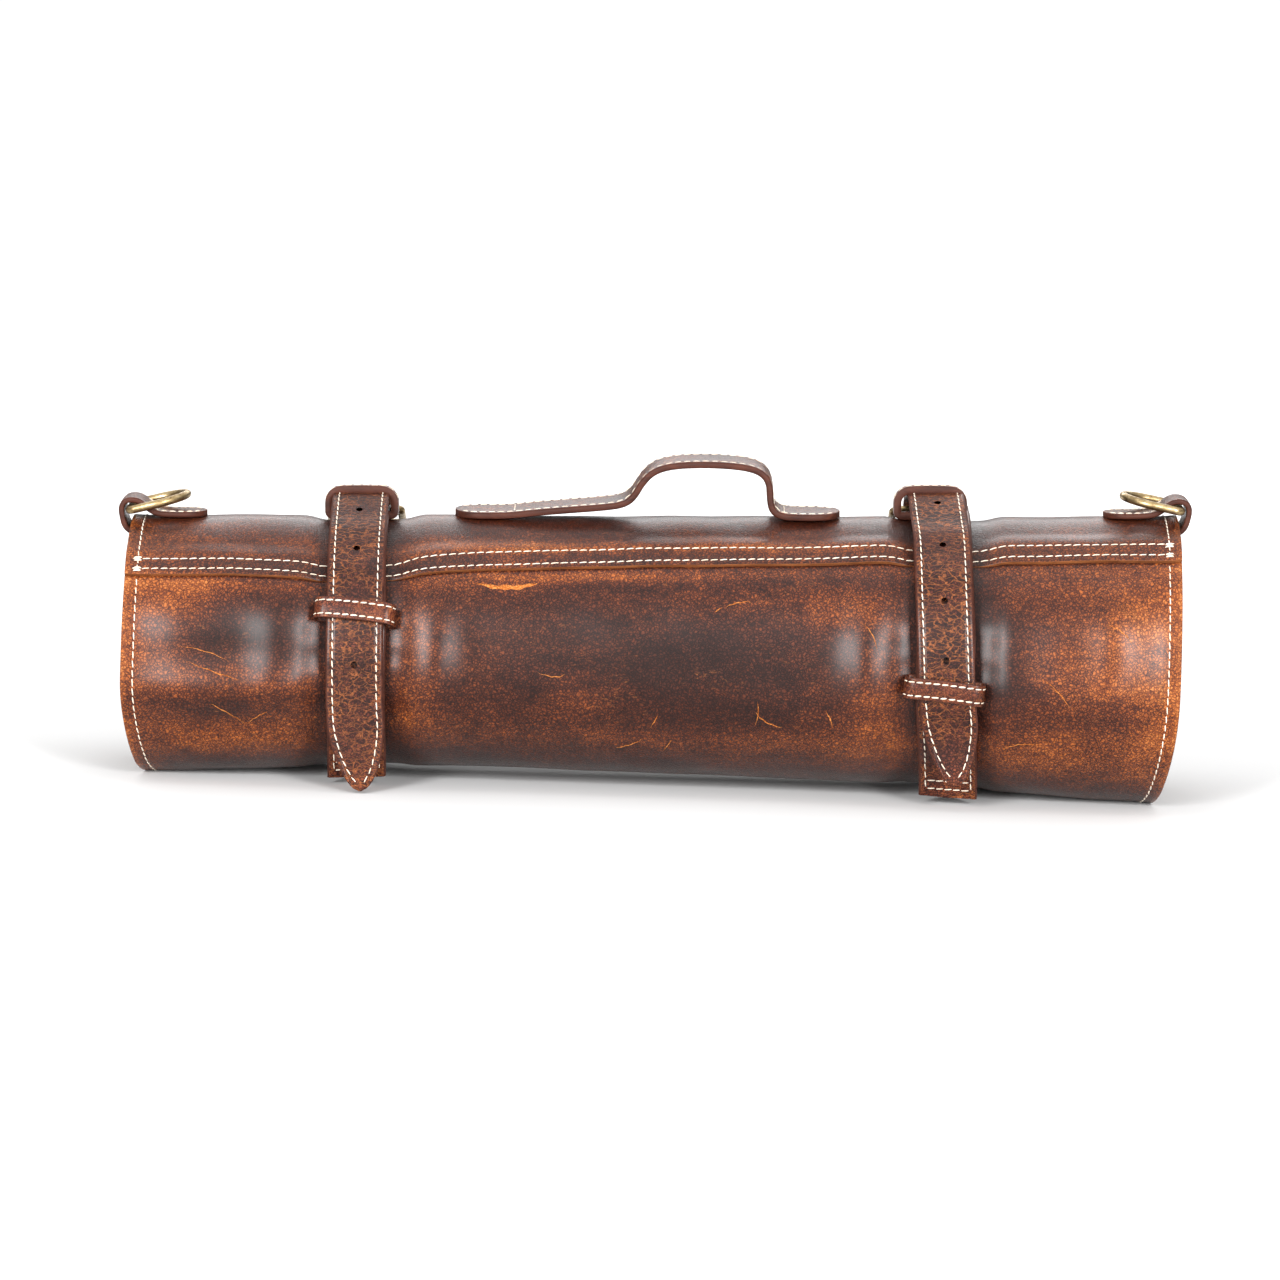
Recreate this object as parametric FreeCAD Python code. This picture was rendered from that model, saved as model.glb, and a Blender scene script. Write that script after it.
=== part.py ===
"""Leather roll case for brushes or tools, rolled up and buckled shut.

Millimetres, +Z up, +X along the roll, -Y towards the front where the strap tails hang.
The origin is at the bottom centre of the whole object's box. Every section of the roll is one
outline, scaled and lifted as the roll swells and rises along X.
"""

import math
import os

import FreeCAD
import Part

Vector = FreeCAD.Vector

# --- Roll -----------------------------------------------------------------------------------
SOLE_TRIM = 0.05  # pared off under both ends, which leaves the flats the roll stands on
# (x, lift of the underside, height of the shell) at places along the roll.
STATIONS = [
    (-240.0, -SOLE_TRIM, 114.4),
    (-226.0, -SOLE_TRIM, 114.8),
    (-95.0, 6.5, 112.2),
    (100.0, 5.2, 119.2),
    (226.0, -SOLE_TRIM, 128.6),
    (240.0, -SOLE_TRIM, 129.2),
]
HALF_LENGTH = STATIONS[-1][0]
AXIS_Y = 5.64  # centres the object's box on the origin

# The section at scale 1, about the roll's axis.
SHELL_RADIUS = 61.0
BASE_DROP = 56.5  # from the axis to the flat underside
FLAT_HALF = 14.0
NOMINAL_HEIGHT = SHELL_RADIUS + BASE_DROP
CORNER_RADIUS = (FLAT_HALF**2 + BASE_DROP**2 - SHELL_RADIUS**2) / (2 * (BASE_DROP - SHELL_RADIUS))
CORNER_ANGLE = math.degrees(math.atan2(FLAT_HALF, BASE_DROP - CORNER_RADIUS))
INNER_RADII = [53.0, 47.5, 42.0, 36.0, 30.0]  # half turns, from the back of the shell inwards
FREE_EDGE = -60.0  # the shell's outer edge, on the back
ROLL_END = 980.0  # the innermost edge

# Sheets of the case: how far each face lies inside the shell's outer face.
SHELL_THICKNESS = 2.2
LINING = (2.3, 3.3)
POCKETS = (3.4, 4.8)
FLAP = (4.9, 6.0)
SEAM_ANGLE = 45.0
SEAM_GAP = 0.15  # degrees
POCKET_START = 200.0
POCKET_END = 960.0
POCKET_X = (-232.0, 20.0)
FLAP_X = (-40.0, 236.0)

# --- Straps ---------------------------------------------------------------------------------
STRAP_X = {"left": -132.0, "right": 132.0}
STRAP_HALF = 13.0
STRAP_THICKNESS = 3.0
SEWN_GAP = 0.15
BACK_STANDOFF = 0.5
BASE_STANDOFF = 2.2  # room under the base strap for the keepers' inner wall
BASE_SEWN_END = 165.0
BASE_SEWN_FROM = 150.0
BASE_FREE_FROM = 128.0
BASE_BUCKLE_END = -9.0
BILLET_STANDOFF = 5.4
BILLET_ROOT = -156.0
TAIL_HINGE = {"left": 90.0, "right": 103.0}
TAIL_TIP_HEIGHT = {"left": 1.0, "right": 12.0}
TAIL_GAP = 0.3
TAIL_BEND = 24.0  # length over which the tail turns to hang straight down
TIP_LENGTH = 34.0
HOLE_RADIUS = 1.6
HOLE_ANGLES = [16.0, 38.0, 60.5, 83.0]

# --- Buckle, in a frame at the heel bar: u towards the far bar, v outwards -------------------
HEEL_ANGLE = -17.0
HEEL_STANDOFF = 3.8
BUCKLE_LENGTH = 24.0
BUCKLE_DIP = 2.4  # the far bar lies this much nearer the roll
BUCKLE_HALF = 17.6
BUCKLE_WIRE = 1.9
BUCKLE_CORNER = 4.0
CHAPE_INNER = 2.1
CHAPE_OUTER = 3.5
CHAPE_LENGTH = 12.0
PRONG_RADIUS = 1.15
PRONG_RING = 3.0
PRONG_WIDTH = 3.4
PRONG_REACH = 27.0
PRONG_SLOT_HALF = 2.2
# The billet's centre line through the buckle, as (u, v).
BILLET_THROUGH = [
    (30.0, -9.2),
    (24.0, -6.6),
    (20.0, -5.3),
    (15.0, -0.9),
    (10.0, 3.6),
    (5.0, 5.0),
    (0.0, 5.3),
]
BILLET_SLOT = (7.5, 20.5)
BILLET_SLOT_HALF = 2.0

# --- Keepers --------------------------------------------------------------------------------
KEEPER_LENGTH = 10.0
KEEPER_INNER_WALL = (0.4, 1.6)
SLIDING_KEEPER_ANGLE = {"left": 69.0, "right": 96.0}
SLIDING_KEEPER_TOP = (9.2, 11.0)
SLIDING_KEEPER_HALF = (16.4, 18.2)
FIXED_KEEPER_ANGLE = -5.0
FIXED_KEEPER_TOP = (11.0, 12.8)
FIXED_KEEPER_HALF = (14.6, 16.2)

# --- D-rings and their tabs -----------------------------------------------------------------
TAB_HALF_WIDTH = 11.0
TAB_THICKNESS = 2.6
# Centre line as (distance from the roll's end inwards, height over the shell) and its bends.
TAB_PATH = [(36.0, 1.4), (11.0, 1.4), (6.0, 8.2), (-3.0, 8.2), (-3.0, -7.0), (16.0, -7.0)]
TAB_BENDS = [0.0, 5.0, 3.2, 4.0, 4.0, 0.0]
RING_BAR = (1.5, 3.9)  # inwards from the end, and height over the shell
RING_WIRE = 1.9
RING_HALF = 13.9
RING_ARM = 12.0
RING_CORNER = 3.0
RING_TILT = {"left": 15.0, "right": 11.0}

# --- Handle ---------------------------------------------------------------------------------
HANDLE_HALF_WIDTH = 12.0
HANDLE_THICKNESS = 3.8
# Centre line as (x, height over the roll's top) and its bends.
HANDLE_PATH = [
    (-91.0, 2.0),
    (-64.0, 2.0),
    (-10.0, 8.2),
    (-4.0, 24.0),
    (20.0, 27.6),
    (52.0, 23.0),
    (52.0, 2.0),
    (84.0, 2.0),
]
HANDLE_BENDS = [0.0, 60.0, 7.0, 9.0, 60.0, 7.0, 6.0, 0.0]
HANDLE_SEWN = (-64.0, 59.0)
HANDLE_GRIP_FROM = 13.0
HANDLE_GAP = 0.3

SPLINE_STEP = 4.0  # degrees between the points of a wrapped strap's curve
TAIL_STEP = 4.0


# --- Frames and small helpers ----------------------------------------------------------------
def station(x):
    """(lift, scale) of the section at x."""
    for (xa, lift_a, high_a), (xb, lift_b, high_b) in zip(STATIONS, STATIONS[1:]):
        if x <= xb:
            break
    t = (x - xa) / (xb - xa)
    high = high_a + t * (high_b - high_a)
    return lift_a + t * (lift_b - lift_a), high / NOMINAL_HEIGHT


def top_height(x):
    lift, scale = station(x)
    return lift + scale * NOMINAL_HEIGHT


def place(x, y, z):
    """A point of the scale 1 section, given about the roll's axis, set at x on the roll."""
    lift, scale = station(x)
    return Vector(x, AXIS_Y + scale * y, lift + scale * (BASE_DROP + z))


def axis_point(x):
    return place(x, 0.0, 0.0)


def direction(angle):
    """Outward direction at an angle from the top, positive towards the front."""
    a = math.radians(angle)
    return Vector(0, -math.sin(a), math.cos(a))


def tangent(angle):
    """Direction of growing angle."""
    a = math.radians(angle)
    return Vector(0, -math.cos(a), -math.sin(a))


def save(shape, name):
    shape.exportStep(os.path.join("parts", name + ".step"))
    print(f"{name}: {len(shape.Solids)} solid(s), {shape.Volume / 1000:.2f} cm3, valid {shape.isValid()}")


def rounded_path(points, bends):
    """Edges of straight runs joined by tangent arcs."""
    edges = []
    start = points[0]
    for before, corner, after, bend in zip(points, points[1:], points[2:], bends[1:]):
        back = (before - corner).normalize()
        ahead = (after - corner).normalize()
        half = back.getAngle(ahead) / 2
        reach = bend / math.tan(half)
        middle = corner + (back + ahead).normalize() * (bend / math.sin(half) - bend)
        edges.append(Part.LineSegment(start, corner + back * reach).toShape())
        edges.append(Part.Arc(corner + back * reach, middle, corner + ahead * reach).toShape())
        start = corner + ahead * reach
    edges.append(Part.LineSegment(start, points[-1]).toShape())
    return edges


def side_path(points, bends, offset):
    """The same path moved sideways in its XZ plane, to the left of its direction."""
    runs = [(b - a).normalize() for a, b in zip(points, points[1:])]
    normals = [Vector(-r.z, 0, r.x) for r in runs]
    moved = [points[0] + normals[0] * offset]
    turned = [0.0]
    for point, bend, na, nb, ra, rb in zip(points[1:], bends[1:], normals, normals[1:], runs, runs[1:]):
        moved.append(point + (na + nb) * (offset / (1 + na.dot(nb))))
        left_turn = (ra.x * rb.z - ra.z * rb.x) > 0
        turned.append(bend - offset if left_turn else bend + offset)
    moved.append(points[-1] + normals[-1] * offset)
    return rounded_path(moved, turned + [0.0])


def leather_strip(points, bends, thickness, y_low, y_high):
    """A strip of leather whose side view is a bent path of even thickness."""
    half = thickness / 2
    upper = side_path(points, bends, half)
    lower = side_path(points, bends, -half)
    ends = [
        Part.LineSegment(upper[0].firstVertex().Point, lower[0].firstVertex().Point).toShape(),
        Part.LineSegment(upper[-1].lastVertex().Point, lower[-1].lastVertex().Point).toShape(),
    ]
    wire = Part.Wire(Part.__sortEdges__(upper + lower + ends))
    wire.translate(Vector(0, y_low, 0))
    return Part.Face(wire).extrude(Vector(0, y_high - y_low, 0))


def wire_tube(edges, radius):
    """A round wire bent along a closed or open path."""
    path = Part.Wire(Part.__sortEdges__(edges))
    first = path.Edges[0]
    at = first.valueAt(first.FirstParameter)
    along = first.tangentAt(first.FirstParameter)
    ring = Part.Wire(Part.Circle(at, along, radius).toShape())
    return path.makePipeShell([ring], True, False)


# --- Rolled sheets ----------------------------------------------------------------------------
def spiral_arcs():
    """The shell's outer face from its free edge inwards, as (centre, radius, from, to)."""
    corner_z = CORNER_RADIUS - BASE_DROP
    front_end = 180.0 - CORNER_ANGLE
    back_start = 180.0 + CORNER_ANGLE
    arcs = [
        ((0.0, 0.0), SHELL_RADIUS, FREE_EDGE, front_end),
        ((-FLAT_HALF, corner_z), CORNER_RADIUS, front_end, 180.0),
        ((FLAT_HALF, corner_z), CORNER_RADIUS, 180.0, back_start),
    ]
    (cy, cz), radius, start = arcs[-1][0], CORNER_RADIUS, back_start
    end = 360.0
    for inner in INNER_RADII:
        away = direction(start)
        cy += away.y * (radius - inner)
        cz += away.z * (radius - inner)
        arcs.append(((cy, cz), inner, start, end))
        radius, start, end = inner, end, end + 180.0
    return arcs


def face_edges(x, inside, start, end):
    """Edges of the spiral at a depth inside the shell's outer face, from one angle to another."""
    edges = []
    last = None
    for (cy, cz), radius, a, b in spiral_arcs():
        a, b = max(a, start), min(b, end)
        if a >= b:
            continue
        points = []
        for angle in (a, (a + b) / 2, b):
            out = direction(angle) * (radius - inside)
            points.append(place(x, cy + out.y, cz + out.z))
        if last is not None and (points[0] - last).Length > 0.01:
            edges.append(Part.LineSegment(last, points[0]).toShape())
        edges.append(Part.Arc(*points).toShape())
        last = points[2]
    return edges


def sheet_wire(x, outer, inner, start, end):
    out = face_edges(x, outer, start, end)
    back = face_edges(x, inner, start, end)
    first = Part.LineSegment(back[0].Vertexes[0].Point, out[0].Vertexes[0].Point).toShape()
    last = Part.LineSegment(out[-1].Vertexes[-1].Point, back[-1].Vertexes[-1].Point).toShape()
    return Part.Wire(out + [last] + back[::-1] + [first])


def loft(wires):
    return Part.makeLoft(wires, True, True)


def stations_between(low, high):
    return [low] + [x for x, _, _ in STATIONS if low < x < high] + [high]


def rolled_sheet(outer, inner, start, end, low=-HALF_LENGTH, high=HALF_LENGTH):
    return loft([sheet_wire(x, outer, inner, start, end) for x in stations_between(low, high)])


# --- Wrapped straps ---------------------------------------------------------------------------
def ray_to_circle(angle, centre, radius):
    out = direction(angle)
    along = out.y * centre[0] + out.z * centre[1]
    return along + math.sqrt(along**2 - centre[0] ** 2 - centre[1] ** 2 + radius**2)


def free_edge_bridge():
    """(tangent angle on the back, unit normal, distance) of the line over the free edge's step."""
    _, _, _, (centre, radius, _, _) = spiral_arcs()[:4]
    tip = direction(FREE_EDGE) * SHELL_RADIUS
    away = Vector(0, tip.y - centre[0], tip.z - centre[1])
    turn = math.degrees(math.acos(radius / away.Length))
    angle = -math.degrees(math.atan2(away.y, away.z)) - turn
    normal = direction(angle)
    return angle, normal, normal.y * centre[0] + normal.z * centre[1] + radius


def wrap_radius(angle):
    """From the axis to a taut wrap over the roll's section at scale 1, at a polar angle."""
    if angle < -180:
        angle += 360
    _, front, back, (back_centre, back_radius, _, _) = spiral_arcs()[:4]
    limit = 180 - CORNER_ANGLE
    flat = math.degrees(math.atan2(FLAT_HALF, BASE_DROP))
    bridge_angle, bridge_normal, bridge_distance = free_edge_bridge()
    touch = bridge_normal * back_radius + Vector(0, back_centre[0], back_centre[1])
    touch_angle = -math.degrees(math.atan2(touch.y, touch.z))
    if abs(angle) >= 180 - flat:
        return BASE_DROP / math.cos(math.radians(180 - abs(angle)))
    if angle > limit:
        return ray_to_circle(angle, front[0], front[1])
    if angle >= FREE_EDGE:
        return SHELL_RADIUS
    if angle > touch_angle:
        return bridge_distance / direction(angle).dot(bridge_normal)
    corner_end = direction(-limit) * CORNER_RADIUS + Vector(0, back[0][0], back[0][1])
    if angle > -math.degrees(math.atan2(corner_end.y, corner_end.z)):
        return ray_to_circle(angle, back_centre, back_radius)
    return ray_to_circle(angle, back[0], back[1])


def surface_point(x, angle, standoff):
    """A point over the wrapped roll at x, a distance out from it."""
    _, scale = station(x)
    return axis_point(x) + direction(angle) * (scale * wrap_radius(angle) + standoff)


def ease(value, low, high):
    t = min(1.0, max(0.0, (value - low) / (high - low)))
    return t * t * (3 - 2 * t)


def angles_between(start, end):
    count = max(2, round(abs(end - start) / SPLINE_STEP))
    return [start + (end - start) * i / count for i in range(count + 1)]


def carried_to(x, centre_x, point):
    """Moves a point of the strap's middle section to x, as the roll tapers."""
    lift_a, scale_a = station(centre_x)
    lift_b, scale_b = station(x)
    grow = scale_b / scale_a
    return Vector(x, AXIS_Y + (point.y - AXIS_Y) * grow, lift_b + (point.z - lift_a) * grow)


def band(middle_points, thickness, centre_x, half_width):
    """A strap of even thickness along a centre line of points in its middle section."""
    spline = Part.BSplineCurve()
    spline.interpolate(middle_points)
    count = len(middle_points)
    first, last = spline.FirstParameter, spline.LastParameter
    inner, outer = [], []
    for i in range(2 * count - 1):
        at = first + (last - first) * i / (2 * count - 2)
        along = spline.tangent(at)[0]
        side = Vector(0, along.z, -along.y) * (thickness / 2)
        inner.append(spline.value(at) + side)
        outer.append(spline.value(at) - side)
    wires = []
    for x in (centre_x - half_width, centre_x + half_width):
        faces = []
        for points in (inner, outer):
            curve = Part.BSplineCurve()
            curve.interpolate([carried_to(x, centre_x, p) for p in points])
            faces.append(curve)
        a, b = faces
        edges = [
            a.toShape(),
            Part.LineSegment(a.EndPoint, b.EndPoint).toShape(),
            b.toShape(),
            Part.LineSegment(b.StartPoint, a.StartPoint).toShape(),
        ]
        wires.append(Part.Wire(edges))
    return loft(wires)


def base_strap_line(x):
    """Centre line of the buckle strap, from its sewn end up the front to the buckle."""
    points = []
    for angle in angles_between(BASE_SEWN_END, BASE_BUCKLE_END):
        lifted = 1 - ease(angle, BASE_FREE_FROM, BASE_SEWN_FROM)
        inner = SEWN_GAP + (BASE_STANDOFF - SEWN_GAP) * lifted
        points.append(surface_point(x, angle, inner + STRAP_THICKNESS / 2))
    return points


def across_roll(x, angle):
    """Direction along the tapering roll's surface, at the strap."""
    low = surface_point(x - STRAP_HALF, angle, 0)
    high = surface_point(x + STRAP_HALF, angle, 0)
    return (high - low).normalize()


def buckle_frame_at(x):
    """(heel bar's centre, its direction, u direction, v direction) of the buckle at x."""
    heel = surface_point(x, HEEL_ANGLE, HEEL_STANDOFF)
    bar = across_roll(x, HEEL_ANGLE)
    u = -tangent(HEEL_ANGLE)
    v = bar.cross(u).normalize()
    return heel, bar, v.cross(bar).normalize(), v


def billet_line(x, end):
    """Centre line of the billet, from its sewn root up the back and through the buckle."""
    half = STRAP_THICKNESS / 2
    heel, _, u, v = buckle_frame_at(x)
    enters = HEEL_ANGLE - 35.0
    points = [surface_point(x, a, BACK_STANDOFF + half) for a in angles_between(BILLET_ROOT, enters)]
    points += [heel + u * a + v * b for a, b in BILLET_THROUGH]
    over_heel = BILLET_THROUGH[-1][1] + HEEL_STANDOFF - half
    for angle in angles_between(HEEL_ANGLE + 6.0, end):
        settle = ease(angle, HEEL_ANGLE, HEEL_ANGLE + 32.0)
        standoff = over_heel + (BILLET_STANDOFF - over_heel) * settle
        points.append(surface_point(x, angle, standoff + half))
    return points


def tail_line(x, start, tip_height):
    """Centre line of the strap's free tail, turning from the roll to hang straight down."""
    points = [surface_point(x, start, BILLET_STANDOFF + STRAP_THICKNESS / 2)]
    gone = 0.0
    while points[-1].z - TAIL_STEP > tip_height:
        points.append(points[-1] + tangent(90 + (start - 90) * (1 - ease(gone, 0, TAIL_BEND))) * TAIL_STEP)
        gone += TAIL_STEP
    last = points[-1]
    return points[:-1] + [Vector(last.x, last.y, tip_height)]


def pointed_tip_cutter(x, tip_height):
    """What is cut away beside the strap's pointed tip, seen from the front."""
    low = tip_height
    shoulder = low + TIP_LENGTH
    cutters = []
    for side in (-1, 1):
        outside = x + side * (STRAP_HALF + 6)
        corner = x + side * (STRAP_HALF + 0.2)
        bulge = Vector(x + side * STRAP_HALF * 0.72, 0, low + TIP_LENGTH * 0.36)
        edges = [
            Part.Arc(Vector(corner, 0, shoulder), bulge, Vector(x, 0, low)).toShape(),
            Part.LineSegment(Vector(x, 0, low), Vector(x, 0, low - 9)).toShape(),
            Part.LineSegment(Vector(x, 0, low - 9), Vector(outside, 0, low - 9)).toShape(),
            Part.LineSegment(Vector(outside, 0, low - 9), Vector(outside, 0, shoulder)).toShape(),
            Part.LineSegment(Vector(outside, 0, shoulder), Vector(corner, 0, shoulder)).toShape(),
        ]
        face = Part.Face(Part.Wire(edges))
        face.translate(Vector(0, -120, 0))
        cutters.append(face.extrude(Vector(0, 120, 0)))
    return cutters


def radial_hole(x, angle):
    base = surface_point(x, angle, BILLET_STANDOFF - 0.1)
    return Part.makeCylinder(HOLE_RADIUS, STRAP_THICKNESS + 4, base, direction(angle))


def local_prism(x, points, half_width):
    """A solid whose side view is given in the buckle's frame, centred on the strap."""
    heel, bar, u, v = buckle_frame_at(x)
    corners = [heel + u * a + v * b - bar * half_width for a, b in points]
    return Part.Face(Part.makePolygon(corners + corners[:1])).extrude(bar * 2 * half_width)


def chape(x):
    """The base strap's fold round the heel bar, with a slot for the prong."""
    heel, bar, _, _ = buckle_frame_at(x)
    side = bar * STRAP_HALF
    outer = Part.makeCylinder(CHAPE_OUTER, 2 * STRAP_HALF, heel - side, bar)
    half = STRAP_THICKNESS / 2
    neck = [(0, CHAPE_OUTER), (0, -CHAPE_OUTER), (-CHAPE_LENGTH, -half), (-CHAPE_LENGTH, half)]
    outer = outer.fuse(local_prism(x, neck, STRAP_HALF))
    inner = Part.makeCylinder(CHAPE_INNER, 2 * STRAP_HALF, heel - side, bar)
    slot = [(-4.5, 5), (5, 5), (5, -5), (-4.5, -5)]
    return outer.cut(inner).cut(local_prism(x, slot, PRONG_SLOT_HALF))


def base_strap(x):
    strap = band(base_strap_line(x), STRAP_THICKNESS, x, STRAP_HALF)
    return strap.fuse(chape(x)).removeSplitter()


def billet(x, hinge):
    strap = band(billet_line(x, hinge), STRAP_THICKNESS, x, STRAP_HALF)
    a, b = BILLET_SLOT
    slot = [(a, 9), (b, 9), (b, -12), (a, -12)]
    strap = strap.cut(local_prism(x, slot, BILLET_SLOT_HALF))
    for angle in HOLE_ANGLES:
        strap = strap.cut(radial_hole(x, angle))
    return strap


def strap_tail(x, hinge, tip_height):
    _, scale = station(x)
    gap = math.degrees(TAIL_GAP / (scale * SHELL_RADIUS))
    tail = band(tail_line(x, hinge + gap, tip_height), STRAP_THICKNESS, x, STRAP_HALF)
    for cutter in pointed_tip_cutter(x, tip_height):
        tail = tail.cut(cutter)
    return tail


# --- Buckles and keepers ----------------------------------------------------------------------
def buckle_frame(x):
    """A round-wire rectangle with eased corners: heel bar, far bar and two sides."""
    heel, bar, u, v = buckle_frame_at(x)
    far = u * BUCKLE_LENGTH - v * BUCKLE_DIP
    side = bar * BUCKLE_HALF
    corners = [heel, heel + side, heel + side + far, heel - side + far, heel - side, heel]
    edges = rounded_path(corners, [0] + [BUCKLE_CORNER] * 4 + [0])
    return wire_tube(edges, BUCKLE_WIRE)


def buckle_prong(x):
    """A ring round the heel bar and a straight tongue that rests on the far bar."""
    heel, bar, u, v = buckle_frame_at(x)
    side = bar * (PRONG_WIDTH / 2)
    rise = BUCKLE_WIRE + PRONG_RADIUS - BUCKLE_DIP + 0.12
    tip = heel + u * PRONG_REACH + v * (rise * PRONG_REACH / BUCKLE_LENGTH)
    tongue = Part.makeCylinder(PRONG_RADIUS, (tip - heel).Length, heel, tip - heel)
    tongue = tongue.fuse(Part.makeSphere(PRONG_RADIUS, tip))
    ring = Part.makeCylinder(PRONG_RING, PRONG_WIDTH, heel - side, bar)
    bore = Part.makeCylinder(BUCKLE_WIRE + 0.08, PRONG_WIDTH + 8, heel - side - bar * 4, bar)
    return tongue.fuse(ring).cut(bore).removeSplitter()


def keeper(x, angle, top, half_widths):
    """A rectangular loop of leather round the straps, square to the roll's surface."""
    across = across_roll(x, angle)
    along = tangent(angle)
    out = along.cross(across).normalize()
    base = surface_point(x, angle, 0) - along * (KEEPER_LENGTH / 2)
    loops = []
    for low, high, half in (
        (KEEPER_INNER_WALL[0], top[1], half_widths[1]),
        (KEEPER_INNER_WALL[1], top[0], half_widths[0]),
    ):
        corners = [
            base + across * half * sx + out * level
            for sx, level in ((-1, low), (1, low), (1, high), (-1, high))
        ]
        loops.append(Part.Face(Part.makePolygon(corners + corners[:1])).extrude(along * KEEPER_LENGTH))
    return loops[0].cut(loops[1])


# --- D-rings, tabs and handle -----------------------------------------------------------------
def end_point(side, inwards, height):
    """A point by the roll's end on the centre plane, in from the end and over the shell."""
    sign = -1 if side == "left" else 1
    x = sign * (HALF_LENGTH - inwards)
    nearest = sign * min(abs(x), HALF_LENGTH)
    return Vector(x, 0, top_height(nearest) + height)


def ring_tab(side):
    points = [end_point(side, inwards, height) for inwards, height in TAB_PATH]
    middle = AXIS_Y
    strip = leather_strip(points, TAB_BENDS, TAB_THICKNESS, middle - TAB_HALF_WIDTH, middle + TAB_HALF_WIDTH)
    sign = -1 if side == "left" else 1
    nose = sign * (HALF_LENGTH - TAB_PATH[0][0])
    low = top_height(sign * HALF_LENGTH) - 20
    keep = Part.makeCylinder(TAB_HALF_WIDTH, 60, Vector(nose + sign * TAB_HALF_WIDTH, middle, low))
    start = min(nose + sign * TAB_HALF_WIDTH, sign * (HALF_LENGTH + 20))
    length = HALF_LENGTH + 20 - abs(nose + sign * TAB_HALF_WIDTH)
    block = Part.makeBox(length, 2 * TAB_HALF_WIDTH, 60, Vector(start, middle - TAB_HALF_WIDTH, low))
    return strip.common(keep.fuse(block))


def d_ring(side):
    bar = end_point(side, *RING_BAR) + Vector(0, AXIS_Y, 0)
    sign = 1 if side == "left" else -1
    tilt = math.radians(RING_TILT[side])
    inwards = Vector(sign * math.cos(tilt), 0, math.sin(tilt))
    across = Vector(0, 1, 0)
    near = bar - across * RING_HALF
    far = bar + across * RING_HALF
    bow_start = near + inwards * RING_ARM
    bow_end = far + inwards * RING_ARM
    corners = [bow_end, far, near, bow_start]
    edges = rounded_path(corners, [0, RING_CORNER, RING_CORNER, 0])
    middle = bar + inwards * (RING_ARM + RING_HALF)
    edges.append(Part.Arc(bow_start, middle, bow_end).toShape())
    return wire_tube(edges, RING_WIRE)


def handle_solid():
    """The whole handle: one bent strap with rounded sewn ends, along the roll's top."""
    low_x, high_x = HANDLE_PATH[0][0], HANDLE_PATH[-1][0]
    low_z, high_z = top_height(low_x), top_height(high_x)
    slope = (high_z - low_z) / (high_x - low_x)
    points = [Vector(x, 0, low_z + slope * (x - low_x) + height) for x, height in HANDLE_PATH]
    middle = AXIS_Y
    half = HANDLE_HALF_WIDTH
    strip = leather_strip(points, HANDLE_BENDS, HANDLE_THICKNESS, middle - half, middle + half)
    low = low_z - 20
    plan = Part.makeBox(high_x - low_x - 2 * half, 2 * half, 90, Vector(low_x + half, middle - half, low))
    for x in (low_x + half, high_x - half):
        plan = plan.fuse(Part.makeCylinder(half, 90, Vector(x, middle, low)))
    return strip.common(plan)


def handle_parts():
    """The handle cut into sewn ends, bending legs and the grip that tilts."""
    whole = handle_solid()
    low_x, high_x = HANDLE_PATH[0][0] - 5, HANDLE_PATH[-1][0] + 5
    sewn_left, sewn_right = HANDLE_SEWN
    grip_z = top_height((sewn_left + sewn_right) / 2) + HANDLE_GRIP_FROM
    split = HANDLE_PATH[4][0]
    floor, ceiling = top_height(low_x) - 20, top_height(high_x) + 60

    def part_of(x_low, x_high, z_low, z_high):
        size = (x_high - x_low, 80, z_high - z_low)
        return whole.common(Part.makeBox(*size, Vector(x_low, -40, z_low)))

    return {
        "handle_end_left": part_of(low_x, sewn_left, floor, ceiling),
        "handle_leg_left": part_of(sewn_left + HANDLE_GAP, split, floor, grip_z - HANDLE_GAP),
        "handle_grip": part_of(sewn_left, sewn_right, grip_z, ceiling),
        "handle_leg_right": part_of(split, sewn_right - HANDLE_GAP, floor, grip_z - HANDLE_GAP),
        "handle_end_right": part_of(sewn_right, high_x, floor, ceiling),
    }


def build():
    below = Part.makeBox(4 * HALF_LENGTH, 200, 20, Vector(-2 * HALF_LENGTH, -100, -20))
    parts = {
        "shell_upper_panel": rolled_sheet(0, SHELL_THICKNESS, FREE_EDGE, SEAM_ANGLE - SEAM_GAP),
        "shell_lower_panel": rolled_sheet(0, SHELL_THICKNESS, SEAM_ANGLE, ROLL_END).cut(below),
        "lining": rolled_sheet(*LINING, FREE_EDGE + 3, ROLL_END - 3),
        "pocket_panel": rolled_sheet(*POCKETS, POCKET_START, POCKET_END, *POCKET_X),
        "cover_flap": rolled_sheet(*FLAP, POCKET_START, POCKET_END, *FLAP_X),
    }
    for side, x in STRAP_X.items():
        hinge = TAIL_HINGE[side]
        parts[f"base_strap_{side}"] = base_strap(x)
        parts[f"billet_{side}"] = billet(x, hinge)
        parts[f"strap_tail_{side}"] = strap_tail(x, hinge, TAIL_TIP_HEIGHT[side])
        parts[f"buckle_frame_{side}"] = buckle_frame(x)
        parts[f"buckle_prong_{side}"] = buckle_prong(x)
        sliding = SLIDING_KEEPER_ANGLE[side]
        parts[f"sliding_keeper_{side}"] = keeper(x, sliding, SLIDING_KEEPER_TOP, SLIDING_KEEPER_HALF)
        parts[f"fixed_keeper_{side}"] = keeper(x, FIXED_KEEPER_ANGLE, FIXED_KEEPER_TOP, FIXED_KEEPER_HALF)
        parts[f"ring_tab_{side}"] = ring_tab(side)
        parts[f"d_ring_{side}"] = d_ring(side)
    parts.update(handle_parts())
    return parts


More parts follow.
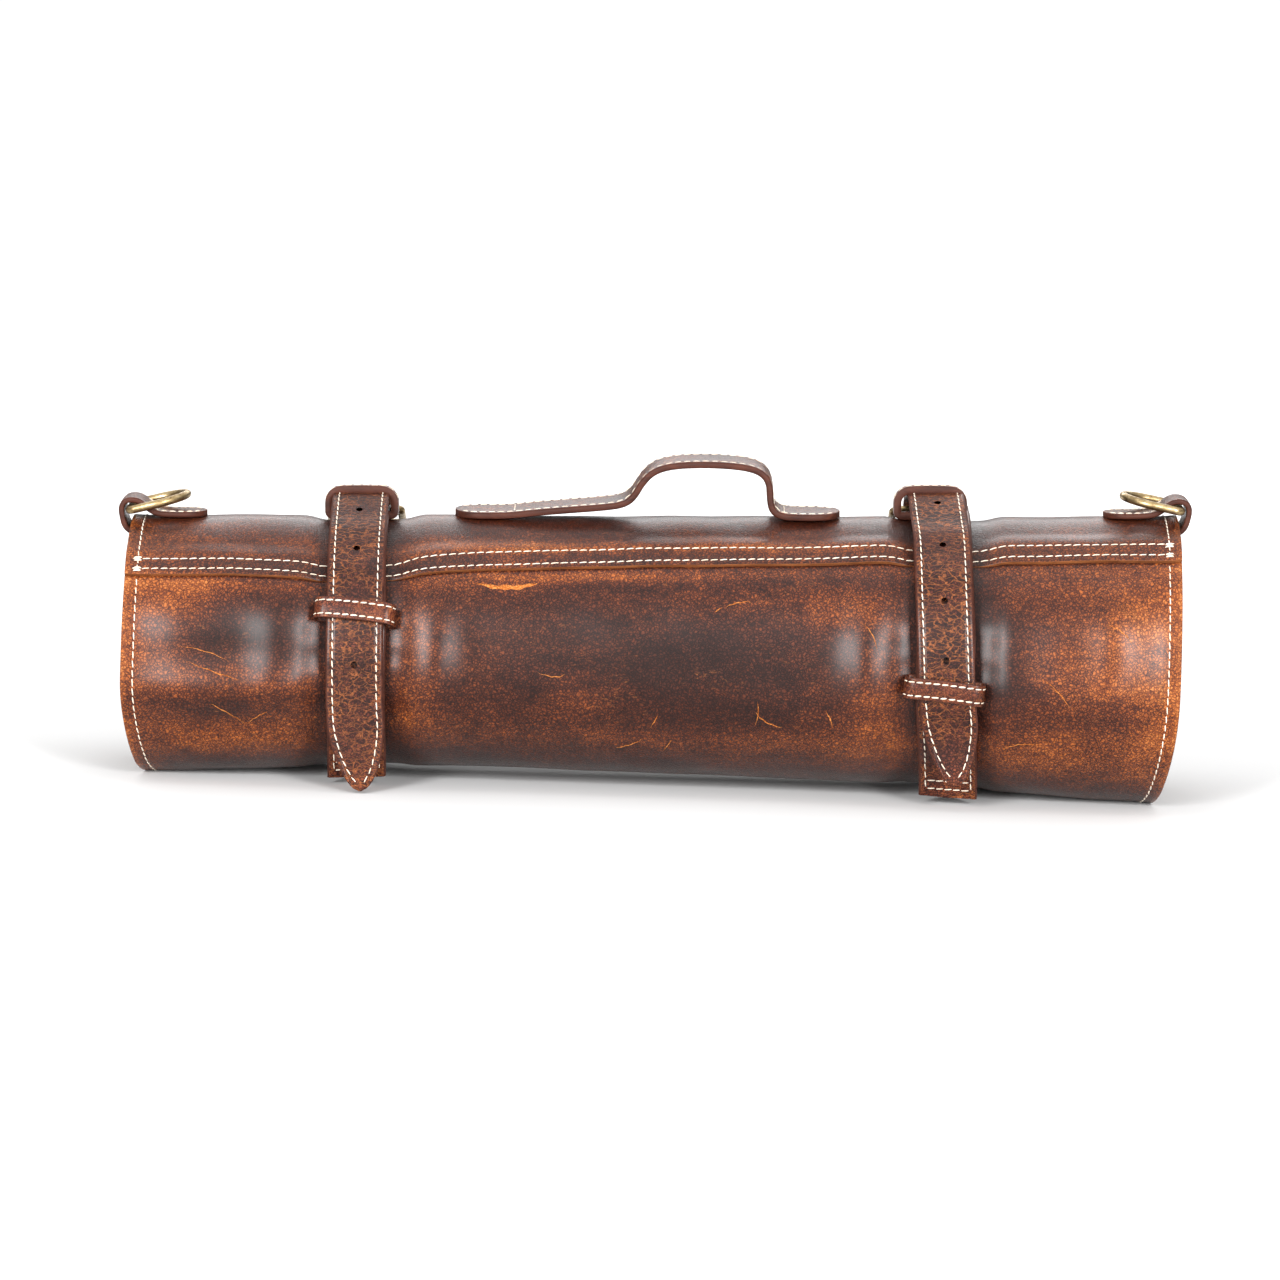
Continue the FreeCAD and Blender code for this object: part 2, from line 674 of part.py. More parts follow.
def main():
    os.makedirs("parts", exist_ok=True)
    box = FreeCAD.BoundBox()
    for name, shape in build().items():
        save(shape, name)
        box.add(shape.optimalBoundingBox())
    print(f"box x {box.XMin:.3f} {box.XMax:.3f}  y {box.YMin:.3f} {box.YMax:.3f}  z {box.ZMin:.3f} {box.ZMax:.3f}")


main()
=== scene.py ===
"""Looks of the rolled leather case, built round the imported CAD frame. Lengths are millimetres until a mesh is made."""

import math

import bpy
import numpy as np
from mathutils import Matrix, Vector


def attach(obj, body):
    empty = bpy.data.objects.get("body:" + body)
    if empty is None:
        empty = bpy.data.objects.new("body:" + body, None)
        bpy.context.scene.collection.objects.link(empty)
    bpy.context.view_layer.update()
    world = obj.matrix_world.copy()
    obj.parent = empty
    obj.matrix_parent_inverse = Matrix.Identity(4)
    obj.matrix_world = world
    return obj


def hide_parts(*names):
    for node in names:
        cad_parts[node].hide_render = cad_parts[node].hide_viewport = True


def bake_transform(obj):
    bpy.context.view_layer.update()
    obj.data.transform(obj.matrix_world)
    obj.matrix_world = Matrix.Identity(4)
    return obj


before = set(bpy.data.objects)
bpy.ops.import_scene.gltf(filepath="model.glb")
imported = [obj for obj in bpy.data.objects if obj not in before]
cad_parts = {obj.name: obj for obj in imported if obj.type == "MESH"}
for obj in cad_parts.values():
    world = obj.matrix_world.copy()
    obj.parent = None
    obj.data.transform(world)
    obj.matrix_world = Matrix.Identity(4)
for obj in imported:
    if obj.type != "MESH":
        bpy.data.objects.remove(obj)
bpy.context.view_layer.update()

MM = 0.001
RNG = np.random.default_rng(11)

# --- The roll's section, as the CAD draws it -------------------------------------------------
STATIONS = np.array([
    (-240.0, -0.05, 114.4), (-226.0, -0.05, 114.8), (-95.0, 6.5, 112.2),
    (100.0, 5.2, 119.2), (226.0, -0.05, 128.6), (240.0, -0.05, 129.2),
])
AXIS_Y = 5.64
SHELL_RADIUS = 61.0
BASE_DROP = 56.5
FLAT_HALF = 14.0
NOMINAL_HEIGHT = SHELL_RADIUS + BASE_DROP
CORNER_RADIUS = (FLAT_HALF**2 + BASE_DROP**2 - SHELL_RADIUS**2) / (2 * (BASE_DROP - SHELL_RADIUS))
CORNER_ANGLE = math.degrees(math.atan2(FLAT_HALF, BASE_DROP - CORNER_RADIUS))
INNER_RADII = [53.0, 47.5, 42.0, 36.0, 30.0]
FREE_EDGE = -60.0
ROLL_END = 980.0
HALF_LENGTH = 240.0

STRAP_X = {"left": -132.0, "right": 132.0}
STRAP_HALF = 13.0
STRAP_THICKNESS = 3.0
BASE_STANDOFF = 2.2
BILLET_STANDOFF = 5.4
TAIL_HINGE = {"left": 90.0, "right": 103.0}
TAIL_TIP_HEIGHT = {"left": 1.0, "right": 12.0}
HEEL_ANGLE = -17.0
HEEL_STANDOFF = 3.8
KEEPER_LENGTH = 10.0
SLIDING_KEEPER_ANGLE = {"left": 69.0, "right": 96.0}
FIXED_KEEPER_ANGLE = -5.0
BUCKLE_SHIFT = {"left": -0.8, "right": -6.6}
FIXED_SHIFT = {"left": -1.6, "right": -6.4}
BUCKLE_NARROW = 0.93
BASE_LEAN = {"left": 0.8, "right": 4.2}
BASE_END = {"left": (-33.0, 3.8), "right": (-36.5, 3.8)}


def smooth(value, low, high):
    t = np.clip((np.asarray(value, float) - low) / (high - low), 0, 1)
    return t * t * (3 - 2 * t)


def bump(value, centre, width):
    return np.exp(-(((np.asarray(value, float) - centre) / width) ** 2))


def held(x):
    """1 under the straps, falling to 0 beside them."""
    return sum(np.exp(-(((np.asarray(x, float) - c) / 20.0) ** 6)) for c in STRAP_X.values())


def station(x):
    """(lift, scale) of the section at x, with the changes of slope eased."""
    x = np.asarray(x, float)
    lift = np.zeros_like(x)
    high = np.zeros_like(x)
    shifts = np.linspace(-14, 14, 9)
    for shift in shifts:
        lift += np.interp(x + shift, STATIONS[:, 0], STATIONS[:, 1]) / len(shifts)
        high += np.interp(x + shift, STATIONS[:, 0], STATIONS[:, 2]) / len(shifts)
    return lift, high / NOMINAL_HEIGHT


def make_spiral():
    """Rows of (length along, y, z, normal y, normal z, normal angle) down the shell's outer face."""
    corner_z = CORNER_RADIUS - BASE_DROP
    front_end, back_start = 180.0 - CORNER_ANGLE, 180.0 + CORNER_ANGLE
    arcs = [
        ((0.0, 0.0), SHELL_RADIUS, FREE_EDGE, front_end),
        ((-FLAT_HALF, corner_z), CORNER_RADIUS, front_end, 180.0),
        ((FLAT_HALF, corner_z), CORNER_RADIUS, 180.0, back_start),
    ]
    (cy, cz), radius, start, end = arcs[-1][0], CORNER_RADIUS, back_start, 360.0
    for inner in INNER_RADII:
        a = math.radians(start)
        cy += -math.sin(a) * (radius - inner)
        cz += math.cos(a) * (radius - inner)
        arcs.append(((cy, cz), inner, start, min(end, ROLL_END)))
        radius, start, end = inner, end, end + 180.0
    rows = []
    for (ay, az), r, a0, a1 in arcs:
        for angle in np.linspace(a0, a1, max(3, int((a1 - a0) / 0.5))):
            a = math.radians(angle)
            rows.append((ay - r * math.sin(a), az + r * math.cos(a), -math.sin(a), math.cos(a), angle))
    rows = np.array(rows)
    steps = np.hypot(np.diff(rows[:, 0]), np.diff(rows[:, 1]))
    keep = np.concatenate([[True], steps > 1e-6])
    rows = rows[keep]
    steps = np.hypot(np.diff(rows[:, 0]), np.diff(rows[:, 1]))
    return np.column_stack([np.concatenate([[0], np.cumsum(steps)]), rows])


SPIRAL = make_spiral()


def spiral_at(s):
    return [np.interp(s, SPIRAL[:, 0], SPIRAL[:, k]) for k in range(1, 6)]


def length_at(angle):
    return np.interp(angle, SPIRAL[:, 5], SPIRAL[:, 0])


SEAM_X = np.array([-245, -190, -150, -118, -78, -8, 60, 116, 175, 245.0])
SEAM_ANGLE = np.array([50.3, 50.6, 52.8, 52.4, 48.2, 45.4, 43.6, 42.0, 41.2, 38.6])
ROW_X = np.array([-245, -150, -80, 20, 60, 150, 245.0])
SEAM_ROWS = (np.array([2.9, 2.8, 1.9, 2.5, 2.6, 2.8, 2.9]), np.array([8.2, 8.4, 9.3, 9.6, 9.6, 9.4, 8.8]))
LAP_HEIGHT = 1.9


def seam_length(x):
    """Where the upper panel's sewn edge runs."""
    return length_at(np.interp(x, SEAM_X, SEAM_ANGLE))


# Soft dents and swells: (x, angle, width in x, width in angle, height)
SWELLS = [
    (-97, 98, 10, 38, 3.0), (-169, 90, 11, 34, 1.9), (96, 98, 10, 38, 3.0), (164, 92, 15, 36, 1.3),
    (-194, 87, 44, 9, -0.9), (-190, 101, 42, 9, 3.3), (-186, 119, 44, 8, -1.8), (-112, 40, 10, 16, -0.6),
    (30, 84, 70, 26, -0.7), (-40, 112, 34, 18, 0.7), (60, 118, 40, 18, 0.8), (211, 80, 15, 28, 1.9),
    (-188, 30, 24, 14, -0.5), (-60, 18, 30, 12, -0.6), (60, 22, 30, 12, -0.5), (198, 20, 22, 14, -0.6),
    (190, 84, 26, 9, -0.7), (186, 99, 30, 9, 1.0), (184, 114, 26, 9, -0.8), (84, 66, 10, 9, -0.7), (-60, 70, 30, 8, 0.4),
]


def relief(s, x, angle):
    """How far the visual shell stands out from the CAD section, all round the outer turn."""
    out = np.zeros(np.broadcast(s, x).shape)
    for centre in STRAP_X.values():
        out = out - 2.3 * np.exp(-(((x - centre) / 23.0) ** 8)) * smooth(angle, -45, -5)
    for cx, ca, wx, wa, high in SWELLS:
        out = out + high * bump(x, cx, wx) * bump(angle, ca, wa)
    out = out + 0.28 * np.sin(x / 23.0 + angle / 17.0) * np.sin(angle / 21.0 + 1.0 - x / 61.0)
    out = out + 0.16 * np.sin(x / 9.5 - angle / 9.0 + 2.0 * np.sin(x / 37.0))
    for centre in STRAP_X.values():
        away = np.abs(x - centre)
        out = out + 0.22 * bump(away, 17, 6) * np.sin(angle / 3.1 + 3 * np.sin(angle / 13.0)) * bump(angle, 85, 40)
    out = out + 2.2 * bump(angle, 112, 22) * (1 - 0.5 * held(x))
    out = out - 3.6 * smooth(x, 204, 236) * bump(angle, 84, 44) - 1.3 * smooth(-x, 212, 238) * bump(angle, 88, 44)
    out = out + 0.5 * smooth(np.abs(x), 233, 240) * smooth(angle, -40, 10)
    out = out * (1 - smooth(angle, 150, 200)) + 0.15 * np.sin(x / 31.0 + angle / 40.0) * smooth(angle, 180, 230)
    return out - 2.7 * (1 - smooth(angle, -60, -22))


def drawn_in(x, angle):
    """The panel's ends stop a little short, most of all underneath."""
    low = angle % 360
    under = smooth(low, 95, 178) * (1 - smooth(low, 182, 250))
    far = smooth(np.abs(x), 150, 240)
    return x - np.sign(x) * far * (2.4 + np.where(x < 0, 9.0, 7.5) * under)


def roll_point(s, x, out):
    """Points on the visual shell: s along the leather from its free edge, and out above its face."""
    s, x, out = np.broadcast_arrays(np.asarray(s, float), np.asarray(x, float), np.asarray(out, float))
    lift, scale = station(x)
    py, pz, ny, nz, angle = spiral_at(s)
    away = out + relief(s, x, angle)
    y = AXIS_Y + scale * py + away * ny
    z = lift + scale * (BASE_DROP + pz) + away * nz
    return np.stack([drawn_in(x, angle), y, z], -1)


def lap_profile(t, x=0.0):
    """Height of the upper panel over the lower one, t in from the sewn edge. The straps press it flat."""
    pressed = 1 - 0.75 * held(x)
    edge = 0.35 * (1 - smooth(t, 0, 1.2))
    return LAP_HEIGHT * pressed * (1 - smooth(t, 10.5, 22)) - edge - 0.2 * bump(t, 2.6, 0.9)


# --- Meshes -----------------------------------------------------------------------------------
BEVEL_FROM = 50.0  # degrees between two faces whose edge is rounded


def make_object(name, points, faces, smooth_angle=40, attributes=None, rim=None):
    mesh = bpy.data.meshes.new(name)
    mesh.from_pydata((np.asarray(points) * MM).tolist(), [], faces)
    mesh.update()
    for key, values in (attributes or {}).items():
        layer = mesh.attributes.new(key, "FLOAT", "POINT")
        layer.data.foreach_set("value", np.asarray(values, np.float32))
    if rim is not None:
        mesh.polygons.foreach_set("material_index", np.asarray(rim, np.int32))
    mesh.polygons.foreach_set("use_smooth", np.ones(len(mesh.polygons), bool))
    mesh.set_sharp_from_angle(angle=math.radians(smooth_angle))
    obj = bpy.data.objects.new(name, mesh)
    bpy.context.scene.collection.objects.link(obj)
    return obj


def apply_modifiers(obj):
    bpy.context.view_layer.update()
    graph = bpy.context.evaluated_depsgraph_get()
    mesh = bpy.data.meshes.new_from_object(obj.evaluated_get(graph))
    obj.modifiers.clear()
    obj.data = mesh
    return obj


def bevel(obj, width, segments=2):
    mod = obj.modifiers.new("bevel", "BEVEL")
    mod.width = width * MM
    mod.segments = segments
    mod.limit_method = "ANGLE"
    mod.angle_limit = math.radians(BEVEL_FROM)
    mod.use_clamp_overlap = True
    return apply_modifiers(obj)


def thick_sheet(name, outer, inner, attributes=None):
    """A closed sheet between two grids of points, its rim in the second material."""
    rows, cols = outer.shape[:2]
    count = rows * cols
    index = np.arange(count).reshape(rows, cols)
    a, b, c, d = index[:-1, :-1], index[1:, :-1], index[1:, 1:], index[:-1, 1:]
    top = np.stack([a, d, c, b], -1).reshape(-1, 4)
    under = np.stack([a, b, c, d], -1).reshape(-1, 4) + count
    border = np.concatenate([index[0, :], index[1:, -1], index[-1, -2::-1], index[-2:0:-1, 0]])
    after = np.roll(border, -1)
    side = np.stack([border, border + count, after + count, after], -1)
    faces = np.concatenate([top, under, side])
    rim = np.concatenate([np.zeros(len(top) + len(under)), np.ones(len(side))])
    points = np.concatenate([outer.reshape(-1, 3), inner.reshape(-1, 3)])
    doubled = {k: np.concatenate([v.ravel(), v.ravel()]) for k, v in (attributes or {}).items()}
    return make_object(name, points, faces.tolist(), attributes=doubled, rim=rim)


def unit(v):
    return v / np.maximum(np.linalg.norm(v, axis=-1, keepdims=True), 1e-9)


def distances(line):
    """Length along a polyline at each of its points."""
    return np.concatenate([[0], np.cumsum(np.linalg.norm(np.diff(line, axis=0), axis=1))])


def sample(at, along, values):
    return np.stack([np.interp(at, along, values[:, k]) for k in range(values.shape[1])], -1)


def tube_faces(rings, sides):
    """Quads between each ring of points and the next."""
    faces = []
    for i in range(rings - 1):
        for j in range(sides):
            k = (j + 1) % sides
            faces.append((i * sides + j, i * sides + k, (i + 1) * sides + k, (i + 1) * sides + j))
    return faces


STITCH_LENGTH = 3.5
STITCH_PITCH = 4.2
THREAD = 0.30
STITCH_SLANT = 5.0  # degrees
STITCH_SIDES = 6
# Rings along a stitch: (share of half length, share of thread width, height in threads)
STITCH_RINGS = [(-1.0, 0.25, -0.55), (-0.8, 0.8, 0.05), (-0.35, 1.0, 0.3), (0.35, 1.0, 0.3), (0.8, 0.8, 0.05), (1.0, 0.25, -0.55)]


def stitch_arrays(path, normals, pitch=STITCH_PITCH, length=STITCH_LENGTH, thread=THREAD):
    """Stitches along a polyline on a surface with these normals: (points, faces)."""
    along = distances(path)
    at = np.linspace(0, along[-1], max(1, int(round(along[-1] / pitch))) + 1)
    fine = sample(at, along, path)
    up = unit(sample(at, along, normals))
    up = unit(up[1:] + up[:-1])
    centre = (fine[1:] + fine[:-1]) / 2
    ahead = unit(fine[1:] - fine[:-1])
    side = unit(np.cross(up, ahead))
    up = np.cross(ahead, side)
    turn = np.radians(STITCH_SLANT + RNG.normal(0, 1.6, len(centre)))[:, None]
    ahead, side = ahead * np.cos(turn) + side * np.sin(turn), side * np.cos(turn) - ahead * np.sin(turn)
    ring = np.arange(STITCH_SIDES) * 2 * math.pi / STITCH_SIDES
    size = 1 + RNG.normal(0, 0.04, len(centre))
    points = []
    for t, w, h in STITCH_RINGS:
        for r in ring:
            offset = ahead * (t * length / 2 * size[:, None])
            offset = offset + side * (math.cos(r) * w * thread)
            offset = offset + up * (math.sin(r) * w * thread * 0.85 + h * thread)
            points.append(centre + offset)
    points = np.stack(points, 1)
    faces = np.array(tube_faces(len(STITCH_RINGS), STITCH_SIDES))
    firsts = np.arange(len(centre)) * len(STITCH_RINGS) * STITCH_SIDES
    return points.reshape(-1, 3), (faces[None] + firsts[:, None, None]).reshape(-1, 4)


def cross_row(put, spot, normal, offsets, *thread):
    """A row of stitches straight across a strap, at one spot of its centre line."""
    path = put(np.repeat(spot[None], len(offsets), 0), offsets)
    return stitch_arrays(path, np.repeat([normal], len(offsets), 0), *thread)


def side_rows(line, normal, row, lift, put, keep, *thread):
    """Rows of stitches down both sides of a flat strap, row from its middle."""
    base = line + normal * lift
    groups = []
    for sign in (-1, 1):
        path = put(base, sign * row)
        above = put(base + normal, sign * row)
        groups.append(stitch_arrays(path[keep], unit(above - path)[keep], *thread))
    return groups


def join_arrays(groups):
    points, faces, base = [], [], 0
    for p, f in groups:
        points.append(p)
        faces.append(f + base)
        base += len(p)
    return np.concatenate(points), np.concatenate(faces)


def stitches(name, groups, material):
    points, faces = join_arrays(groups)
    obj = make_object(name, points, faces.tolist(), smooth_angle=80)
    obj.data.materials.append(material)
    return obj


def row_on_grid(function, ss, xs, lift=0.0):
    """(path, normals) of a row of thread on function(s, x), at matching arrays."""
    path = function(ss, xs)
    ds = function(ss + 0.4, xs) - function(ss - 0.4, xs)
    dx = function(ss, xs + 0.4) - function(ss, xs - 0.4)
    normals = unit(np.cross(ds, dx))
    outward = path - np.stack([path[:, 0], np.full(len(path), AXIS_Y), np.full(len(path), 60.0)], -1)
    flip = np.sign((normals * outward).sum(1, keepdims=True))
    normals = normals * flip
    return path + normals * lift, normals


# --- Materials --------------------------------------------------------------------------------
def new_material(name):
    material = bpy.data.materials.new(name)
    material.use_nodes = True
    tree = material.node_tree
    tree.nodes.clear()
    out = tree.nodes.new("ShaderNodeOutputMaterial")
    shader = tree.nodes.new("ShaderNodeBsdfPrincipled")
    tree.links.new(shader.outputs[0], out.inputs[0])
    return material, tree, shader


class Tree:
    """Short calls for the few node types used here."""

    def __init__(self, tree):
        self.tree = tree
        self.coords = tree.nodes.new("ShaderNodeTexCoord").outputs["Object"]

    def node(self, kind, inputs=None, **settings):
        node = self.tree.nodes.new(kind)
        for key, value in settings.items():
            setattr(node, key, value)
        for key, value in (inputs or {}).items():
            if hasattr(value, "is_linked"):
                self.tree.links.new(value, node.inputs[key])
            else:
                node.inputs[key].default_value = value
        return node

    def noise(self, scale, detail=4.0, rough=0.55, distortion=0.0, coords=None):
        inputs = {"Vector": coords or self.coords, "Scale": scale, "Detail": detail,
                  "Roughness": rough, "Distortion": distortion}
        return self.node("ShaderNodeTexNoise", inputs).outputs["Fac"]

    def stretched(self, factors, turn=(0, 0, 0)):
        return self.node("ShaderNodeMapping", {"Vector": self.coords, "Scale": factors, "Rotation": turn}).outputs[0]

    def distance(self, scale, coords):
        """Distance to the nearest border between cells."""
        inputs = {"Vector": coords, "Scale": scale}
        return self.node("ShaderNodeTexVoronoi", inputs, feature="DISTANCE_TO_EDGE").outputs["Distance"]

    def wave(self, scale, distortion, coords, direction="X"):
        inputs = {"Vector": coords, "Scale": scale, "Distortion": distortion}
        return self.node("ShaderNodeTexWave", inputs, bands_direction=direction).outputs["Fac"]

    def math(self, operation, a, b=0.0, c=0.0):
        node = self.node("ShaderNodeMath", {0: a, 1: b, 2: c}, operation=operation)
        return node.outputs[0]

    def ramp(self, value, stops):
        node = self.node("ShaderNodeValToRGB", {"Fac": value})
        while len(node.color_ramp.elements) < len(stops):
            node.color_ramp.elements.new(0.5)
        for element, (at, colour) in zip(node.color_ramp.elements, stops):
            element.position = at
            element.color = (*colour, 1)
        return node.outputs["Color"]

    def band(self, value, low, high, to_low=0.0, to_high=1.0):
        inputs = {"Value": value, "From Min": low, "From Max": high, "To Min": to_low, "To Max": to_high}
        return self.node("ShaderNodeMapRange", inputs).outputs["Result"]

    def mix(self, factor, a, b):
        node = self.node("ShaderNodeMix", data_type="RGBA")
        for socket, value in ((node.inputs[0], factor), (node.inputs[6], a), (node.inputs[7], b)):
            if hasattr(value, "is_linked"):
                self.tree.links.new(value, socket)
            elif socket.type == "RGBA":
                socket.default_value = (*value, 1)
            else:
                socket.default_value = value
        return node.outputs[2]

    def attribute(self, name):
        return self.node("ShaderNodeAttribute", attribute_name=name).outputs["Fac"]

    def bump(self, height, distance, strength):
        inputs = {"Height": height, "Distance": distance, "Strength": strength}
        return self.node("ShaderNodeBump", inputs).outputs[0]


LEATHER_STOPS = [
    (0.00, (0.016, 0.0038, 0.0026)), (0.24, (0.046, 0.0105, 0.0056)), (0.42, (0.110, 0.0245, 0.0090)),
    (0.58, (0.240, 0.0560, 0.0130)), (0.76, (0.440, 0.1180, 0.0220)), (1.00, (0.680, 0.2500, 0.0650)),
]
STRAP_STOPS = [
    (0.00, (0.016, 0.0040, 0.0030)), (0.26, (0.050, 0.0115, 0.0075)), (0.44, (0.115, 0.0255, 0.0130)),
    (0.62, (0.220, 0.0540, 0.0220)), (0.80, (0.380, 0.1120, 0.0380)), (1.00, (0.540, 0.2100, 0.0850)),
]


def leather(name, shift=0.0, gain=1.0, grain=0.8, cracks=0.0, rough=0.36, seed=0.0, stops=None,
            coat=0.62, flat=1.0, mottle=0.52):
    """Waxed pull-up leather. A vertex attribute lifts the tone: real wear, and on the shell also painted highlights
    and painted shade.
    """
    material, tree, shader = new_material(name)
    t = Tree(tree)
    moved = t.node("ShaderNodeMapping", {"Vector": t.coords, "Location": (seed, seed * 0.7, -seed)}).outputs[0]
    clouds = t.noise(15.0, 5.0, 0.55, 0.6, moved)
    blotches = t.noise(66.0, 7.0, 0.64, 0.6, moved)
    drawn = t.node("ShaderNodeMapping", {"Vector": moved, "Scale": (0.55, 1.6, 2.3), "Rotation": (0, 0.25, 0)}).outputs[0]
    streaks = t.noise(36.0, 6.0, 0.6, 1.1, drawn)
    fine = t.noise(620.0, 5.0, 0.65, 0.0, moved)
    squeezed = t.node("ShaderNodeMapping", {"Vector": moved, "Scale": (1.0, flat, flat)}).outputs[0]
    wander = t.node("ShaderNodeTexNoise", {"Vector": moved, "Scale": 150.0, "Detail": 4.0}).outputs["Color"]
    shifted = t.node("ShaderNodeVectorMath", {0: wander, "Scale": 0.012}, operation="SCALE").outputs[0]
    warped = t.node("ShaderNodeVectorMath", {0: squeezed, 1: shifted}, operation="ADD").outputs[0]
    jitter = t.node("ShaderNodeTexNoise", {"Vector": moved, "Scale": 420.0, "Detail": 3.0}).outputs["Color"]
    jittered = t.node("ShaderNodeVectorMath", {0: jitter, "Scale": 0.0032}, operation="SCALE").outputs[0]
    wormy = t.node("ShaderNodeVectorMath", {0: moved, 1: jittered}, operation="ADD").outputs[0]
    pebble = t.distance(700.0, wormy)
    grains = t.node("ShaderNodeTexVoronoi", {"Vector": moved, "Scale": 720.0}).outputs["Color"]
    valley = t.band(pebble, 0.0, 0.20, 1.0, 0.0)
    tone = t.math("MULTIPLY_ADD", t.attribute("wear"), gain, shift)
    for layer, amount in ((clouds, 0.40), (blotches, mottle), (streaks, 0.44), (fine, 0.16)):
        tone = t.math("ADD", tone, t.math("MULTIPLY_ADD", layer, amount, -amount / 2))
    tone = t.math("ADD", tone, t.math("MULTIPLY_ADD", grains, 0.20, -0.10))
    tone = t.math("MULTIPLY_ADD", valley, -0.33, t.math("ADD", tone, 0.06))
    colour = t.ramp(tone, [(at, tuple(0.68 * c for c in rgb)) for at, rgb in stops or LEATHER_STOPS])
    cells = t.distance(205.0 if cracks else 170.0, warped)
    lines = t.band(cells, 0.0, 0.12 if cracks else 0.07, 1.0, 0.0)
    where = t.band(t.noise(44.0, 3.0, 0.5, 0.3, moved), 0.34 if cracks else 0.42, 0.54 if cracks else 0.60)
    lines = t.math("MULTIPLY", lines, where)
    if cracks:
        lines = t.math("MULTIPLY", lines, t.band(t.noise(330.0, 3.0, 0.6, 0.0, moved), 0.30, 0.52))
        colour = t.mix(t.math("MULTIPLY", lines, 0.85 * cracks), colour, (0.50, 0.150, 0.042))
    else:
        colour = t.mix(t.math("MULTIPLY", lines, 0.30), colour, (0.012, 0.004, 0.003))
    drift = t.node("ShaderNodeMapping", {"Vector": moved, "Scale": (0.35, 1.0, 1.0), "Rotation": (0, 0.5, 0)}).outputs[0]
    scuffs = t.noise(900.0, 3.0, 0.7, 0.4, drift)
    worn = t.math("MULTIPLY", t.band(scuffs, 0.58, 0.72), t.band(blotches, 0.48, 0.64))
    colour = t.mix(t.math("MULTIPLY", worn, 0.34), colour, (0.50, 0.165, 0.045))
    tree.links.new(colour, shader.inputs["Base Color"])
    gloss = t.math("MULTIPLY_ADD", blotches, 0.20, rough - 0.10)
    gloss = t.math("MULTIPLY_ADD", fine, 0.12, t.math("ADD", gloss, -0.04))
    tree.links.new(gloss, shader.inputs["Roughness"])
    height = t.math("MULTIPLY_ADD", t.math("MINIMUM", pebble, 0.24), 1.7, t.math("MULTIPLY", fine, 0.6))
    height = t.math("MULTIPLY_ADD", lines, -0.5 - 0.6 * cracks, height)
    height = t.math("MULTIPLY_ADD", blotches, 0.6, height)
    tree.links.new(t.bump(height, 0.0015, grain), shader.inputs["Normal"])
    shader.inputs["Specular IOR Level"].default_value = 0.08
    shader.inputs["Specular Tint"].default_value = (1.0, 0.62, 0.52, 1)
    shader.inputs["Coat Weight"].default_value = coat
    shader.inputs["Coat IOR"].default_value = 1.4
    shader.inputs["Coat Roughness"].default_value = 0.34
    return material


def cut_edge_material(name, dark, light):
    material, tree, shader = new_material(name)
    t = Tree(tree)
    layers = t.noise(260.0, 6.0, 0.7, 0.5, t.stretched((0.2, 1.0, 1.0)))
    colour = t.ramp(layers, [(0.25, dark), (0.75, light)])
    tree.links.new(colour, shader.inputs["Base Color"])
    tree.links.new(t.band(layers, 0.2, 0.8, 0.40, 0.62), shader.inputs["Roughness"])
    tree.links.new(t.bump(t.noise(1500.0, 4.0, 0.7), 0.0002, 0.5), shader.inputs["Normal"])
    shader.inputs["Specular IOR Level"].default_value = 0.15
    return material


def thread_material():
    material, tree, shader = new_material("waxed_thread")
    t = Tree(tree)
    wave = t.wave(900.0, 2.0, t.stretched((1, 1, 1), (0.5, 0.6, 0.4)))
    tone = t.math("MULTIPLY_ADD", wave, 0.35, t.noise(80.0, 4.0))
    colour = t.ramp(tone, [(0.25, (0.42, 0.31, 0.21)), (0.55, (0.62, 0.51, 0.39)), (1.0, (0.80, 0.72, 0.61))])
    tree.links.new(colour, shader.inputs["Base Color"])
    tree.links.new(t.bump(wave, 0.0001, 0.7), shader.inputs["Normal"])
    shader.inputs["Roughness"].default_value = 0.62
    shader.inputs["Sheen Weight"].default_value = 0.2
    return material


def brass_material():
    material, tree, shader = new_material("antique_brass")
    t = Tree(tree)
    patina = t.noise(240.0, 6.0, 0.62, 0.4)
    marks = t.noise(1600.0, 3.0, 0.6, 0.2, t.stretched((1, 0.25, 1)))
    tone = t.math("MULTIPLY_ADD", marks, 0.3, patina)
    colour = t.ramp(tone, [(0.42, (0.10, 0.062, 0.028)), (0.62, (0.33, 0.235, 0.115)), (0.92, (0.60, 0.47, 0.27))])
    tree.links.new(colour, shader.inputs["Base Color"])
    tree.links.new(t.band(tone, 0.4, 0.95, 0.46, 0.24), shader.inputs["Roughness"])
    tree.links.new(t.bump(marks, 0.0001, 0.35), shader.inputs["Normal"])
    shader.inputs["Metallic"].default_value = 1.0
    return material


def cloth_material():
    material, tree, shader = new_material("lining_cloth")
    t = Tree(tree)
    warp = t.wave(620.0, 0.4, t.coords)
    weft = t.wave(620.0, 0.4, t.stretched((1, 1, 1), (0.78, 0, 0)), "Z")
    weave = t.math("MULTIPLY", warp, weft)
    tone = t.math("MULTIPLY_ADD", t.noise(60.0, 5.0), 0.5, t.math("MULTIPLY", weave, 0.5))
    colour = t.ramp(tone, [(0.2, (0.20, 0.13, 0.07)), (0.8, (0.40, 0.29, 0.17))])
    tree.links.new(colour, shader.inputs["Base Color"])
    tree.links.new(t.bump(weave, 0.0002, 0.6), shader.inputs["Normal"])
    shader.inputs["Roughness"].default_value = 0.9
    shader.inputs["Sheen Weight"].default_value = 0.3
    return material


